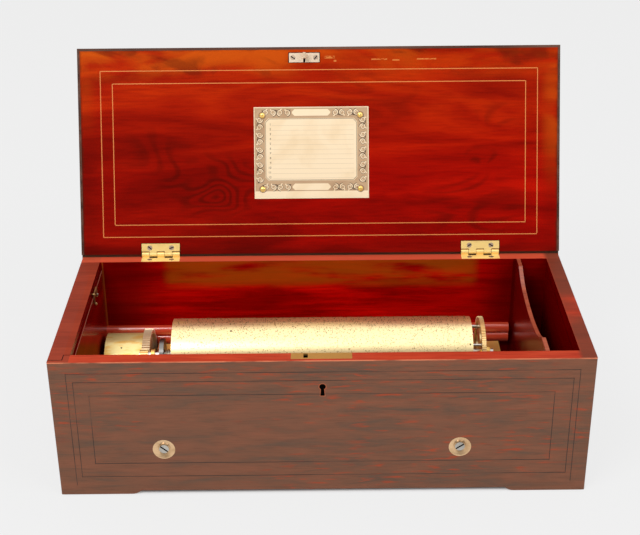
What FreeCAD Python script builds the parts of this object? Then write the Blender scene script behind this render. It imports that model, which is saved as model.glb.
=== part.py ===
"""Key-wound cylinder musical box: a wooden case with its lid open, and the movement inside it.

Units are millimetres.  While the model is built, X runs along the case from its middle, Y runs
back from the front face and Z runs up from the surface that the feet stand on.  The finished
pieces are moved forward, so the origin is the middle of the rectangle the open box takes up.
"""
import FreeCAD, Part
import math
import os

os.makedirs("parts", exist_ok=True)
Vector = FreeCAD.Vector

# ---------------------------------------------------------------- driving dimensions: the case
case_width = 550.0
case_depth = 236.0
case_height = 161.0
front_wall = 15.2
back_wall = 13.6
right_wall = 15.4
foot_height = 4.2
foot_length = 74.0
foot_curve = 10.0
board_thickness = 4.5
board_height = 4.5
corner_radius = 1.5
sill_height = 20.0
flap_thickness = 14.7
flap_band = 6.6
flap_band_depth = 10.3
flap_rebate = 5.4
toe_gap = 0.5
end_panel_thickness = 8.2
end_panel_gap = 0.3
wood_gap = 0.3
past = 1.0
partition_thickness = 4.5
partition_from_wall = 30.1
partition_post = 27.0
partition_rear_post = 19.2
partition_dip = 17.5
partition_sweep = 37.0
partition_sweep_dip = 14.1
rail_height = 23.5
rail_depth = 8.0
rail_bottom = 54.0
rail_to_partition = 4.5
sweep_bulge_along = 0.44
sweep_bulge_drop = 0.62

# ---------------------------------------------------------------- driving dimensions: the lid
lid_thickness = 15.0
lid_gap = 0.5
lid_overhang = 1.1
lid_edge_strip = 3.0
lid_lip = 7.0
lid_lip_rise = 5.7
lid_open_angle = 112.4
hinge_pin_height = 3.0
hinge_knuckle_radius = 2.7
hinge_pin_radius = 1.2
hinge_width = 44.0
hinge_leaf_depth = 12.5
hinge_screw_inset = 5.0
hinge_screw_spread = 12.5
hinge_leaf_thickness = 1.6
hinge_from_end = 90.5
hinge_knuckles = 5
knuckle_gap = 0.5
knuckle_notch = 0.8
hinge_web = 1.5
pin_clearance = 0.06
screw_head_radius = 2.9
screw_head_depth = 1.3
screw_shank_radius = 1.3
screw_length = 8.0
slot_width = 0.9
slot_depth = 0.5
first_slot_turn = 25.0
slot_turn_step = 47.0
card_width = 131.4
card_height = 104.7
card_thickness = 0.8
card_from_hinge = 63.2
card_off_middle = -9.4
card_nail_inset_x = 9.6
card_nail_inset_y = 9.8
card_nail_radius = 2.2
catch_width = 35.0
catch_height = 10.7
catch_thickness = 1.5
catch_centre_x = -16.7
catch_from_front = 12.2
catch_screw_inset = 4.5
catch_link_width = 3.0
catch_link_depth = 6.6
catch_link_length = 10.0

# ---------------------------------------------------------------- driving dimensions: the lock
selvedge_left = -31.5
selvedge_right = 30.0
selvedge_front = 3.7
selvedge_thickness = 2.0
lock_case_height = 44.0
lock_front = 5.0
lock_inset = 1.0
lock_wall = 1.6
lock_hole_clearance = 0.7
bolt_height = 7.0
bolt_length = 30.0
bolt_travel = 4.0
bolt_grip = 1.2
keyhole_radius = 3.2
keyhole_from_rim = 30.6
keyhole_slot_width = 2.6
keyhole_slot_length = 10.6
key_pin_radius = 1.3

# ---------------------------------------------------------------- driving dimensions: the flap
flap_pivot_inset = 2.4
flap_hinge_radius = 2.3
flap_hinge_width = 30.0
flap_hinge_from_ends = 34.0
flap_pocket_depth = 8.4
flap_pocket_margin = 22.0
flap_pocket_rear = 16.0

# ---------------------------------------------------------------- driving dimensions: movement
bed_top = 59.5
bed_thickness = 7.0
bed_from_end_panel = 5.8
bed_from_partition = 17.0
bed_from_back = 13.0
bearer_height = 12.0
bearer_depth = 18.0
bearer_from_plate = 18.5
bearer_from_bed_end = 12.0
fixing_from_cylinder_left = 0.4
fixing_from_cylinder_right = 23.9
fixing_length = 26.0
fixing_slot_turns = (40.0, -35.0)
washer_radius = 11.6
washer_dish = 3.0
washer_thickness = 1.0
fixing_head_radius = 5.0
fixing_shank_radius = 2.2

cylinder_from_back = 80.4
cylinder_z = 85.1
cylinder_radius = 40.0
cylinder_to_wheel = 9.9
cylinder_wall = 1.4
cap_thickness = 3.0
cap_boss_length = 8.0
cap_boss_radius = 9.0
arbor_radius = 3.6
arbor_end = 1.0
arbor_tail = 3.8
cock_gap = 3.2
cock_thickness = 5.0
bore_gap = 0.05
tune_count = 12
tune_step = 0.35

wheel_from_partition = 45.0
wheel_width = 4.6
wheel_teeth = 118
wheel_module = 0.665
wheel_rim = 3.4
wheel_web = 2.4
wheel_arms = 4
wheel_hub_radius = 8.0
wheel_window_radius = 8.5
drive_pin_radius = 1.8
drive_pin_circle = 29.5

pinion_width = 9.0
pinion_teeth = 11
great_teeth = 82
great_module = 1.0
mesh_clearance = 0.25

bracket_from_end_panel = 2.3
bracket_thickness = 3.2
bracket_to_barrel = 0.8
barrel_behind_cylinder = 33.0
barrel_length = 42.5
barrel_radius = 37.0
barrel_wall = 1.8
winding_radius = 4.0
winding_square = 6.0
winding_reach = 7.0
ratchet_teeth = 24
ratchet_radius = 12.5
ratchet_thickness = 2.6
ratchet_gap = 0.5
bearing_plate_gap = 0.4
bearing_plate_thickness = 4.0
bay_margin = 4.0

stop_disc_from_plate = 6.5
stop_disc_thickness = 4.8
stop_disc_radius = 18.3
return_spring_length = 10.7
spring_wire = 0.8
spring_radius = 6.2

comb_inset_left = 6.5
comb_inset_right = 5.5
comb_teeth = 78
comb_thickness = 2.6
comb_from_front_wall = 20.8
comb_land = 12.8
comb_treble_length = 17.0
comb_reach = 1.2
comb_slot = 0.9
comb_screws = 9
comb_screw_radius = 1.8
comb_screw_length = 12.0

lever_pitch = 20.0
lever_count = 3
lever_from_bay = 23.15
lever_width = 7.0
lever_thickness = 2.6
lever_pivot_from_panel = 29.8
lever_tail = 24.0
lever_tail_step = 6.0
lever_rise = 4.0
lever_swing = 6.0

# ---------------------------------------------------------------- derived places
half_width = case_width / 2
back_inner = case_depth - back_wall
right_inner = half_width - right_wall
board_top = board_height + board_thickness
flap_inner = -half_width + flap_thickness
band_inner = flap_inner + flap_band
end_panel_left = flap_inner + end_panel_gap
end_panel_right = end_panel_left + end_panel_thickness
end_panel_top = case_height - flap_band_depth - wood_gap
bed_bottom = bed_top - bed_thickness
partition_right = right_inner - partition_from_wall
partition_left = partition_right - partition_thickness
hinge_y = case_depth
hinge_from_middle = half_width - hinge_from_end
hinge_z = case_height + hinge_pin_height
lid_bottom = case_height + lid_gap
lid_top = lid_bottom + lid_thickness
fixing_height = bed_top - bed_thickness / 2

bed_left = end_panel_right + bed_from_end_panel
bed_right = partition_left - bed_from_partition
bed_rear = back_inner - bed_from_back
barrel_left = end_panel_right + bracket_from_end_panel + bracket_thickness + bracket_to_barrel
pinion_left = barrel_left + barrel_length
pinion_right = pinion_left + pinion_width
ratchet_left = pinion_right + ratchet_gap
ratchet_right = ratchet_left + ratchet_thickness
bearing_plate_left = ratchet_right + bearing_plate_gap
bearing_plate_right = bearing_plate_left + bearing_plate_thickness
stop_disc_left = bearing_plate_right + stop_disc_from_plate
stop_disc_right = stop_disc_left + stop_disc_thickness
cylinder_left = stop_disc_right + return_spring_length
wheel_right = partition_left - wheel_from_partition
wheel_left = wheel_right - wheel_width
cylinder_right = wheel_left - cylinder_to_wheel
arbor_left = pinion_left - arbor_end
cock_left = wheel_right + cock_gap
cock_right = cock_left + cock_thickness
arbor_right = cock_right + arbor_tail
fixing_x = (cylinder_left + fixing_from_cylinder_left, cylinder_right - fixing_from_cylinder_right)
comb_left = cylinder_left + comb_inset_left
comb_right = cylinder_right - comb_inset_right
comb_back = front_wall + comb_from_front_wall
lever_pivot_x = end_panel_right + lever_pivot_from_panel
lever_z = bed_top + lever_rise

cylinder_y = back_inner - cylinder_from_back
barrel_y = cylinder_y + barrel_behind_cylinder
cylinder_centre = (cylinder_y, cylinder_z)
tip_y = cylinder_y - cylinder_radius - comb_reach
comb_bottom = cylinder_z - comb_thickness / 2

great_pitch = great_teeth * great_module / 2
pinion_pitch = pinion_teeth * great_module / 2
barrel_drop = math.sqrt((great_pitch + pinion_pitch + mesh_clearance) ** 2
                        - (barrel_y - cylinder_y) ** 2)
barrel_z = cylinder_z - barrel_drop
great_radius = great_pitch + great_module * 0.85
bay_front = barrel_y - great_radius - bay_margin
pieces = {}


# ---------------------------------------------------------------- shape helpers
def block(x0, x1, y0, y1, z0, z1):
    """A box between two corners."""
    return Part.makeBox(x1 - x0, y1 - y0, z1 - z0, Vector(x0, y0, z0))


def rod_x(x0, x1, y, z, radius):
    """A cylinder along X."""
    return Part.makeCylinder(radius, x1 - x0, Vector(x0, y, z), Vector(1, 0, 0))


def rod_y(x, y0, y1, z, radius):
    """A cylinder along Y."""
    return Part.makeCylinder(radius, y1 - y0, Vector(x, y0, z), Vector(0, 1, 0))


def rod_z(x, y, z0, z1, radius):
    """A cylinder along Z."""
    return Part.makeCylinder(radius, z1 - z0, Vector(x, y, z0), Vector(0, 0, 1))


def loop(corners):
    """A closed wire: a tuple entry holds the arc's middle and end, a vector is a straight run."""
    edges = []
    here = corners[0]
    for corner in corners[1:] + [corners[0]]:
        if isinstance(corner, tuple):
            edges.append(Part.Arc(here, corner[0], corner[1]).toShape())
            here = corner[1]
        elif (corner - here).Length > 1e-6:
            edges.append(Part.LineSegment(here, corner).toShape())
            here = corner
    return Part.Wire(edges)


def extrude(corners, direction):
    """A prism on a closed outline."""
    return Part.Face(loop(corners)).extrude(direction)


def prism_x(points, x0, x1):
    """A prism along X on an outline of (y, z) points; a pair of points in a list is an arc."""
    corners = [flat_x(entry, x0) for entry in points]
    return extrude(corners, Vector(x1 - x0, 0, 0))


def flat_x(entry, x):
    if isinstance(entry, list):
        return tuple(Vector(x, y, z) for y, z in entry)
    return Vector(x, entry[0], entry[1])


def prism_y(points, y0, y1):
    """A prism along Y on an outline of (x, z) points; a pair of points in a list is an arc."""
    corners = [flat_y(entry, y0) for entry in points]
    return extrude(corners, Vector(0, y1 - y0, 0))


def flat_y(entry, y):
    if isinstance(entry, list):
        return tuple(Vector(x, y, z) for x, z in entry)
    return Vector(entry[0], y, entry[1])


def prism_z(points, z0, z1):
    """A prism along Z on an outline of (x, y) points."""
    corners = [Vector(x, y, z0) for x, y in points]
    return extrude(corners, Vector(0, 0, z1 - z0))


def joined(shapes):
    """One solid made of touching or overlapping shapes."""
    whole = shapes[0]
    for shape in shapes[1:]:
        whole = whole.fuse(shape)
    return whole.removeSplitter()


def without(shape, tools):
    """The shape less each tool."""
    for tool in tools:
        shape = shape.cut(tool)
    return shape


def group(shapes):
    """Separate solids that share a node."""
    return Part.makeCompound(shapes)


def around(centre, radius, degrees):
    """A (y, z) point on a circle about a (y, z) centre."""
    angle = math.radians(degrees)
    return (centre[0] + radius * math.cos(angle), centre[1] + radius * math.sin(angle))


def gear_x(x0, x1, centre, teeth, module, phase, share=0.44):
    """A spur gear about an X axis, with one tooth centred at the phase angle."""
    pitch_radius = teeth * module / 2
    tip_radius = pitch_radius + 0.85 * module
    root_radius = pitch_radius - 1.1 * module
    half_pitch = share * math.pi * module / 2
    half_tip = half_pitch - 0.3 * 0.85 * module
    half_root = half_pitch + 0.3 * 1.1 * module
    points = []
    for index in range(teeth):
        middle = phase + 360.0 * index / teeth
        root_angle = math.degrees(half_root / root_radius)
        tip_angle = math.degrees(half_tip / tip_radius)
        points.append(around(centre, root_radius, middle - root_angle))
        points.append(around(centre, tip_radius, middle - tip_angle))
        points.append(around(centre, tip_radius, middle + tip_angle))
        points.append(around(centre, root_radius, middle + root_angle))
    return prism_x(points, x0, x1)


def slot_tool(face, inwards, turn, radius):
    """The bar that cuts a driver's slot across a round head, turned about the screw's axis."""
    reach = radius + past
    bar = Part.makeBox(2 * reach, slot_width, slot_depth + past,
                       Vector(-reach, -slot_width / 2, -past))
    bar.rotate(Vector(0, 0, 0), Vector(0, 0, 1), turn)
    bar.Placement = FreeCAD.Placement(face, FreeCAD.Rotation(Vector(0, 0, 1), inwards)) * bar.Placement
    return bar


def screw_blank(x, y, z, direction):
    """A flat-headed wood screw whose head is flush at a point and whose shank runs inwards."""
    head = Part.makeCone(screw_head_radius, screw_shank_radius, screw_head_depth,
                         Vector(x, y, z), direction)
    shank = Part.makeCylinder(screw_shank_radius, screw_length, Vector(x, y, z), direction)
    return head.fuse(shank).removeSplitter()


def slotted(blanks, sites, direction):
    """Screws with their slots cut, each turned further than the one before."""
    screws = []
    for index, (blank, site) in enumerate(zip(blanks, sites)):
        turn = first_slot_turn + slot_turn_step * index
        screws.append(blank.cut(slot_tool(site, direction, turn, screw_head_radius)))
    return screws


# ---------------------------------------------------------------- the case
def foot_cut_x(y0, y1):
    """The long hollow between the feet of the front or back, with a curved end at each foot."""
    edge = half_width - foot_length
    inner = edge - foot_curve
    mid = (edge + inner) / 2
    half = foot_height / 2
    return prism_y([(-edge, -1), (-edge, 0), [(-mid + 1.5, half * 0.7), (-inner, foot_height)],
                    (inner, foot_height), [(mid - 1.5, half * 0.7), (edge, 0)], (edge, -1)], y0, y1)


def foot_cut_y(x0, x1):
    """The short hollow between the feet of an end."""
    first = foot_length * 0.75
    last = case_depth - first
    mid = foot_curve / 2
    half = foot_height / 2
    points = [(first, -1), (first, 0), [(first + mid + 1.5, half * 0.7),
              (first + foot_curve, foot_height)], (last - foot_curve, foot_height),
              [(last - mid - 1.5, half * 0.7), (last, 0)], (last, -1)]
    return prism_x(points, x0, x1)


def lid_hinge_sites():
    return (-hinge_from_middle, hinge_from_middle)


def hinge_screw_sites(x_middle, z):
    """Where the two screws of a hinge leaf sit on its face."""
    y = hinge_y - hinge_leaf_depth + hinge_screw_inset
    return [Vector(x_middle + side * hinge_screw_spread, y, z) for side in (-1, 1)]


def blanks_at(sites, direction):
    return [screw_blank(site.x, site.y, site.z, direction) for site in sites]


def build_case():
    front = block(-half_width, half_width, 0, front_wall, 0, case_height)
    front = front.cut(foot_cut_x(-1, front_wall + 1))
    rebate = block(-half_width - 1, flap_inner, flap_rebate, front_wall + 1,
                   sill_height + wood_gap, case_height + 1)
    rebate_low = block(-half_width - 1, flap_inner, flap_rebate, front_wall + 1, -1,
                       sill_height + wood_gap)
    front = without(front, [rebate, rebate_low])
    vertical = [edge for edge in front.Edges
                if abs(abs(edge.CenterOfMass.x) - half_width) < 0.01
                and abs(edge.CenterOfMass.y) < 0.01 and edge.Length > case_height / 2]
    front = front.makeFillet(corner_radius, vertical)

    keyhole_z = case_height - keyhole_from_rim
    slot_half = keyhole_slot_width / 2
    keyhole = rod_y(0, -1, front_wall / 2, keyhole_z, keyhole_radius)
    keyslot = block(-slot_half, slot_half, -1, front_wall / 2, keyhole_z - keyhole_slot_length,
                    keyhole_z)
    lock_left = selvedge_left + lock_inset
    lock_right = selvedge_right - lock_inset
    mortise = block(lock_left, lock_right, lock_front, front_wall + 1,
                    case_height - selvedge_thickness - lock_case_height, case_height + 1)
    seat = block(selvedge_left, selvedge_right, selvedge_front, front_wall + 1,
                 case_height - selvedge_thickness, case_height + 1)
    front = without(front, [keyhole, keyslot, mortise, seat])
    for x in fixing_x:
        front = front.cut(rod_y(x, -1, washer_dish + 0.1, fixing_height, washer_radius + 0.1))
        front = front.cut(rod_y(x, 0, front_wall + 1, fixing_height, fixing_shank_radius + 0.3))
    pieces["front_panel"] = front

    back = block(-half_width, half_width, back_inner, case_depth, 0, case_height)
    back = back.cut(foot_cut_x(back_inner - 1, case_depth + 1))
    back_rebate = block(-half_width - 1, flap_inner, back_inner - 1,
                        case_depth - flap_rebate, -1, case_height + 1)
    back = back.cut(back_rebate)
    down = Vector(0, 0, -1)
    for x in lid_hinge_sites():
        half = hinge_width / 2
        leaf_front = hinge_y - hinge_leaf_depth
        seat = block(x - half, x + half, leaf_front, case_depth + 1,
                     case_height - hinge_leaf_thickness, case_height + 1)
        back = back.cut(seat)
        back = without(back, blanks_at(hinge_screw_sites(x, case_height), down))
    pieces["back_panel"] = back

    right = block(right_inner, half_width, front_wall, back_inner, 0, case_height)
    pieces["right_end_panel"] = right.cut(foot_cut_y(right_inner - 1, half_width + 1))
    sill = block(-half_width, flap_inner, flap_rebate, case_depth - flap_rebate, 0, sill_height)
    pieces["left_sill"] = sill.cut(foot_cut_y(-half_width - 1, flap_inner + 1))
    pieces["bottom_board"] = block(end_panel_left, right_inner, front_wall, back_inner,
                                   board_height, board_top)


def lever_rows():
    """The levers' places, counted forward from the barrel's opening in the bed."""
    last = bay_front - lever_from_bay
    return [last - (lever_count - 1 - index) * lever_pitch for index in range(lever_count)]


def lever_slots(x0, x1):
    """Openings for the three lever ends, wide enough for their swing."""
    slots = []
    for y in lever_rows():
        half = lever_width / 2 + (lever_pivot_x - x0) * math.sin(math.radians(lever_swing)) + 1.0
        slots.append(block(x0, x1, y - half, y + half, lever_z - 1.2,
                           lever_z + lever_thickness + 1.2))
    return slots


def build_left_end():
    """The fixed inner end, the drop flap outside it and the flap's hinges and hook."""
    panel = block(end_panel_left, end_panel_right, front_wall, back_inner, board_top,
                  end_panel_top)
    key_way = rod_x(end_panel_left - 1, end_panel_right + 1, barrel_y, barrel_z,
                    winding_radius + 4.5)
    panel = without(panel, [key_way] + lever_slots(end_panel_left - 1, end_panel_right + 1))
    panel = panel.cut(hook_pivot_rod())
    pieces["inner_end_panel"] = panel

    pivot_x = -half_width + flap_pivot_inset
    pivot_z = sill_height + wood_gap + flap_hinge_radius
    front_y = flap_rebate + wood_gap
    rear_y = case_depth - flap_rebate - wood_gap
    foot = block(-half_width, flap_inner, front_y, rear_y, pivot_z, case_height)
    heel = rod_y(pivot_x, front_y, rear_y, pivot_z, flap_pivot_inset)
    toe = block(pivot_x, flap_inner - toe_gap, front_y, rear_y, pivot_z - flap_hinge_radius,
                pivot_z)
    band = block(flap_inner, band_inner, front_wall + wood_gap, back_inner - wood_gap,
                 case_height - flap_band_depth, case_height)
    flap = joined([foot, heel, toe, band])
    rows = lever_rows()
    low = min(lever_z, barrel_z) - flap_pocket_rear
    pocket = block(flap_inner - flap_pocket_depth, flap_inner + past,
                   rows[0] - flap_pocket_margin, barrel_y + flap_pocket_rear, low,
                   lever_z + flap_pocket_margin)
    flap = flap.cut(pocket)
    flap = flap.cut(catch_pin_rod())
    for y in flap_hinge_places():
        half = flap_hinge_width / 2
        well = rod_y(pivot_x, y - half, y + half, pivot_z, flap_hinge_radius + 0.3)
        seat = block(pivot_x, flap_inner + 1, y - half, y + half,
                     pivot_z - flap_hinge_radius - 1, pivot_z - flap_hinge_radius + 1.2)
        flap = without(flap, [well, seat])
    pieces["flap_panel"] = flap
    build_hook()
    return build_flap_hinges(pivot_x, pivot_z)


def flap_hinge_places():
    return (front_wall + flap_hinge_from_ends, back_inner - flap_hinge_from_ends)


def build_flap_hinges(pivot_x, pivot_z):
    """Two small butt hinges let into the sill and the flap's lower edge."""
    half = flap_hinge_width / 2
    knuckle = flap_hinge_width / 3
    pins = []
    case_leaves = []
    flap_leaves = []
    leaf = 1.2
    bore = hinge_pin_radius * 0.75
    for y in flap_hinge_places():
        pin = rod_y(pivot_x, y - half, y + half, pivot_z, bore)
        pins.append(pin)
        hole = rod_y(pivot_x, y - half - 1, y + half + 1, pivot_z, bore + pin_clearance)
        gap = 0.15
        ends = [rod_y(pivot_x, y - half, y - knuckle / 2 - gap, pivot_z, flap_hinge_radius),
                rod_y(pivot_x, y + knuckle / 2 + gap, y + half, pivot_z, flap_hinge_radius)]
        middle = rod_y(pivot_x, y - knuckle / 2 + gap, y + knuckle / 2 - gap, pivot_z,
                       flap_hinge_radius)
        sill_top = sill_height
        case_plate = block(pivot_x, flap_inner, y - half, y + half, sill_top - leaf, sill_top)
        webs = [block(pivot_x - 0.9, pivot_x + 0.9, y - half, y - knuckle / 2 - gap,
                      sill_top - leaf, pivot_z),
                block(pivot_x - 0.9, pivot_x + 0.9, y + knuckle / 2 + gap, y + half,
                      sill_top - leaf, pivot_z)]
        case_leaf = joined([case_plate] + ends + webs).cut(hole)
        low = pivot_z - flap_hinge_radius
        flap_plate = block(pivot_x + flap_hinge_radius + 0.3, flap_inner - toe_gap, y - half,
                           y + half, low, low + leaf)
        arm = block(pivot_x, pivot_x + flap_hinge_radius + 0.4, y - knuckle / 2 + gap,
                    y + knuckle / 2 - gap, low, low + leaf)
        flap_leaf = joined([flap_plate, arm, middle]).cut(hole)
        case_leaves.append(case_leaf)
        flap_leaves.append(flap_leaf)
        seat = block(pivot_x - 0.9, flap_inner, y - half, y + half, sill_top - leaf,
                     sill_top + 1)
        pieces["left_sill"] = pieces["left_sill"].cut(seat)
    pieces["flap_hinge_case_leaves"] = group(case_leaves)
    pieces["flap_hinge_flap_leaves"] = group(flap_leaves)
    return pins


hook_y = 170.0
hook_z = end_panel_top - 3.4
hook_reach = 10.5
hook_pin_radius = 1.2
hook_boss = 2.4
hook_thickness = 1.5
hook_arm = 1.7
hook_clearance = 0.6
hook_finger = 3.5
hook_finger_gap = 1.9
hook_ball_radius = 1.6
hook_ball_out = 0.5
hook_gap = 0.3
hook_head_radius = 1.8
hook_head_thickness = 0.8
hook_pin_root = 5.0
catch_pin_root = 4.0
catch_pin_z = end_panel_top + 2.2
hook_left = end_panel_right + hook_gap
hook_right = hook_left + hook_thickness
hook_head_left = hook_right + 0.2


def hook_pivot_rod():
    return rod_x(end_panel_right - hook_pin_root, hook_head_left + hook_head_thickness, hook_y,
                 hook_z, hook_pin_radius)


def catch_pin_rod():
    return rod_x(band_inner - catch_pin_root, hook_right + hook_gap, hook_y - hook_reach,
                 catch_pin_z, hook_pin_radius)


def build_hook():
    """The small brass hook that lies over the flap's peg, lifted by the ball on its finger."""
    pin_y = hook_y - hook_reach
    arm_low = catch_pin_z + hook_pin_radius + hook_clearance
    arm_top = arm_low + hook_arm
    inner = pin_y - hook_pin_radius - hook_finger_gap
    outer = inner - hook_arm
    tip = hook_z - hook_finger
    rear = hook_y + hook_boss
    soft = hook_arm / 2
    points = [(rear, hook_z), (rear, arm_top - soft),
              [(rear - soft * 0.3, arm_top - soft * 0.3), (rear - soft, arm_top)],
              (outer + soft, arm_top),
              [(outer + soft * 0.3, arm_top - soft * 0.3), (outer, arm_top - soft)],
              (outer, tip), (inner, tip), (inner, arm_low), (hook_y - hook_boss, arm_low),
              (hook_y - hook_boss, hook_z), [(hook_y, hook_z - hook_boss), (rear, hook_z)]]
    body = prism_x(points, hook_left, hook_right)
    ball = Part.makeSphere(hook_ball_radius, Vector(hook_right + hook_ball_out,
                                                    (inner + outer) / 2, tip))
    hook = joined([body, ball])
    hook = hook.cut(rod_x(hook_left - past, hook_right + past, hook_y, hook_z,
                          hook_pin_radius + pin_clearance))
    pieces["flap_hook"] = hook
    head = rod_x(hook_head_left, hook_head_left + hook_head_thickness, hook_y, hook_z,
                 hook_head_radius)
    pieces["flap_hook_pivot"] = joined([hook_pivot_rod(), head])
    pieces["flap_catch_pin"] = catch_pin_rod()


def build_inside():
    """The partition of the key compartment and the moulded rail along the back."""
    top = case_height
    front_post = front_wall + partition_post
    rear_post = back_inner - partition_rear_post
    front_bend = front_post + partition_sweep
    rear_bend = rear_post - partition_sweep
    bend = top - partition_sweep_dip
    along = partition_sweep * sweep_bulge_along
    drop = top - partition_sweep_dip * sweep_bulge_drop
    points = [(front_wall, board_top), (back_inner, board_top), (back_inner, top),
              (rear_post, top), [(rear_post - along, drop), (rear_bend, bend)],
              [((front_bend + rear_bend) / 2, top - partition_dip), (front_bend, bend)],
              [(front_post + along, drop), (front_post, top)], (front_wall, top)]
    pieces["partition"] = prism_x(points, partition_left, partition_right)

    rail_top = rail_bottom + rail_height
    crest = back_inner - rail_depth
    shoulder = crest + 3.0
    waist = rail_bottom + rail_height * 0.52
    low_mid = (rail_bottom + waist) / 2
    top_mid = (waist + rail_top) / 2
    profile = [(back_inner, rail_bottom), (shoulder, rail_bottom),
               [(crest, low_mid), (shoulder, waist)],
               [(crest, top_mid), (shoulder, rail_top)], (back_inner, rail_top)]
    rail = prism_x(profile, end_panel_right, partition_left - rail_to_partition)
    relief = rod_x(pinion_left - 1.5, pinion_right + 1.5, barrel_y, barrel_z, great_radius + 1.0)
    pieces["back_rail"] = rail.cut(relief)


# ---------------------------------------------------------------- lid, hinges and lock
def opened(shape):
    """Turn a piece of the closed lid back to its open place."""
    turned = shape.copy()
    turned.rotate(Vector(0, hinge_y, hinge_z), Vector(1, 0, 0), -lid_open_angle)
    return turned


def lid_section(front):
    """The lid's (y, z) outline: its lip reaches out behind the pins and over the case's back."""
    rear = case_depth + lid_lip
    lip_low = lid_bottom + lid_lip_rise
    return [(front, lid_bottom), (case_depth, lid_bottom), (case_depth, lip_low), (rear, lip_low),
            (rear, lid_top), (front, lid_top)]


def build_lid():
    side = half_width + lid_overhang
    board_side = side - lid_edge_strip
    section = lid_section(lid_edge_strip)
    board = prism_x(section, -board_side, board_side)
    strip_left = prism_x(lid_section(0), -side, -board_side)
    strip_right = prism_x(lid_section(0), board_side, side)
    strip_front = block(-side + lid_edge_strip, side - lid_edge_strip, 0, lid_edge_strip,
                        lid_bottom, lid_top)
    frame = joined([strip_left, strip_right, strip_front])
    outer = [edge for edge in frame.Edges if is_outer_lid_edge(edge, side)]
    frame = frame.makeFillet(1.4, outer)

    up = Vector(0, 0, 1)
    for x in lid_hinge_sites():
        half = hinge_width / 2
        leaf_front = hinge_y - hinge_leaf_depth
        seat = block(x - half, x + half, leaf_front, case_depth + 1, lid_bottom - 1,
                     lid_bottom + hinge_leaf_thickness)
        well = rod_x(x - half, x + half, hinge_y, hinge_z, hinge_knuckle_radius + 0.3)
        board = without(board, [seat, well] + blanks_at(hinge_screw_sites(x, lid_bottom), up))

    left = catch_centre_x - catch_width / 2
    right = catch_centre_x + catch_width / 2
    near = catch_from_front - catch_height / 2
    far = catch_from_front + catch_height / 2
    catch_top = lid_bottom + catch_thickness
    board = board.cut(block(left, right, near, far, lid_bottom - 1, catch_top))
    plate = block(left, right, near, far, lid_bottom, catch_top)
    link_low = lid_bottom - catch_link_length
    link_y = catch_link_y()
    link = block(catch_centre_x - catch_link_width / 2, catch_centre_x + catch_link_width / 2,
                 link_y - catch_link_depth / 2, link_y + catch_link_depth / 2, link_low, catch_top)
    eye = block(catch_centre_x - catch_link_width, catch_centre_x + catch_link_width,
                link_y - catch_link_depth / 4, link_y + catch_link_depth / 4, link_low + 2.0,
                lid_bottom - 2.5)
    plate = joined([plate, link]).cut(eye)
    catch_blanks = blanks_at(catch_screw_sites(), up)
    plate = without(plate, catch_blanks)
    board = without(board, catch_blanks)

    pieces["lid_panel"] = opened(board)
    pieces["lid_edge_strip"] = opened(frame)
    pieces["lid_catch_plate"] = opened(plate)
    build_card()


def catch_link_y():
    """The middle of the link, which stands at the plate's edge nearest the front."""
    return catch_from_front - catch_height / 2 + catch_link_depth / 2


def catch_screw_sites():
    reach = catch_width / 2 - catch_screw_inset
    return [Vector(catch_centre_x + side * reach, catch_from_front, lid_bottom)
            for side in (-1, 1)]


def is_outer_lid_edge(edge, side):
    middle = edge.CenterOfMass
    at_end = abs(abs(middle.x) - side) < 0.01
    at_front = abs(middle.y) < 0.01
    on_face = abs(middle.z - lid_bottom) < 0.01 or abs(middle.z - lid_top) < 0.01
    return (at_end or at_front) and on_face and edge.Length > 10


def build_card():
    """The tune card and the four domed nails that hold it inside the lid."""
    x0 = card_off_middle - card_width / 2
    x1 = card_off_middle + card_width / 2
    y1 = case_depth - card_from_hinge
    y0 = y1 - card_height
    card = block(x0, x1, y0, y1, lid_bottom - card_thickness, lid_bottom)
    nails = []
    for x in (x0 + card_nail_inset_x, x1 - card_nail_inset_x):
        for y in (y0 + card_nail_inset_y, y1 - card_nail_inset_y):
            dome = Part.makeSphere(card_nail_radius, Vector(x, y, lid_bottom - card_thickness))
            cap = block(x - 5, x + 5, y - 5, y + 5, lid_bottom - card_thickness - 1.5,
                        lid_bottom - card_thickness)
            nails.append(dome.common(cap))
    pieces["tune_card"] = opened(card)
    pieces["card_nails"] = opened(group(nails))


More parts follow.
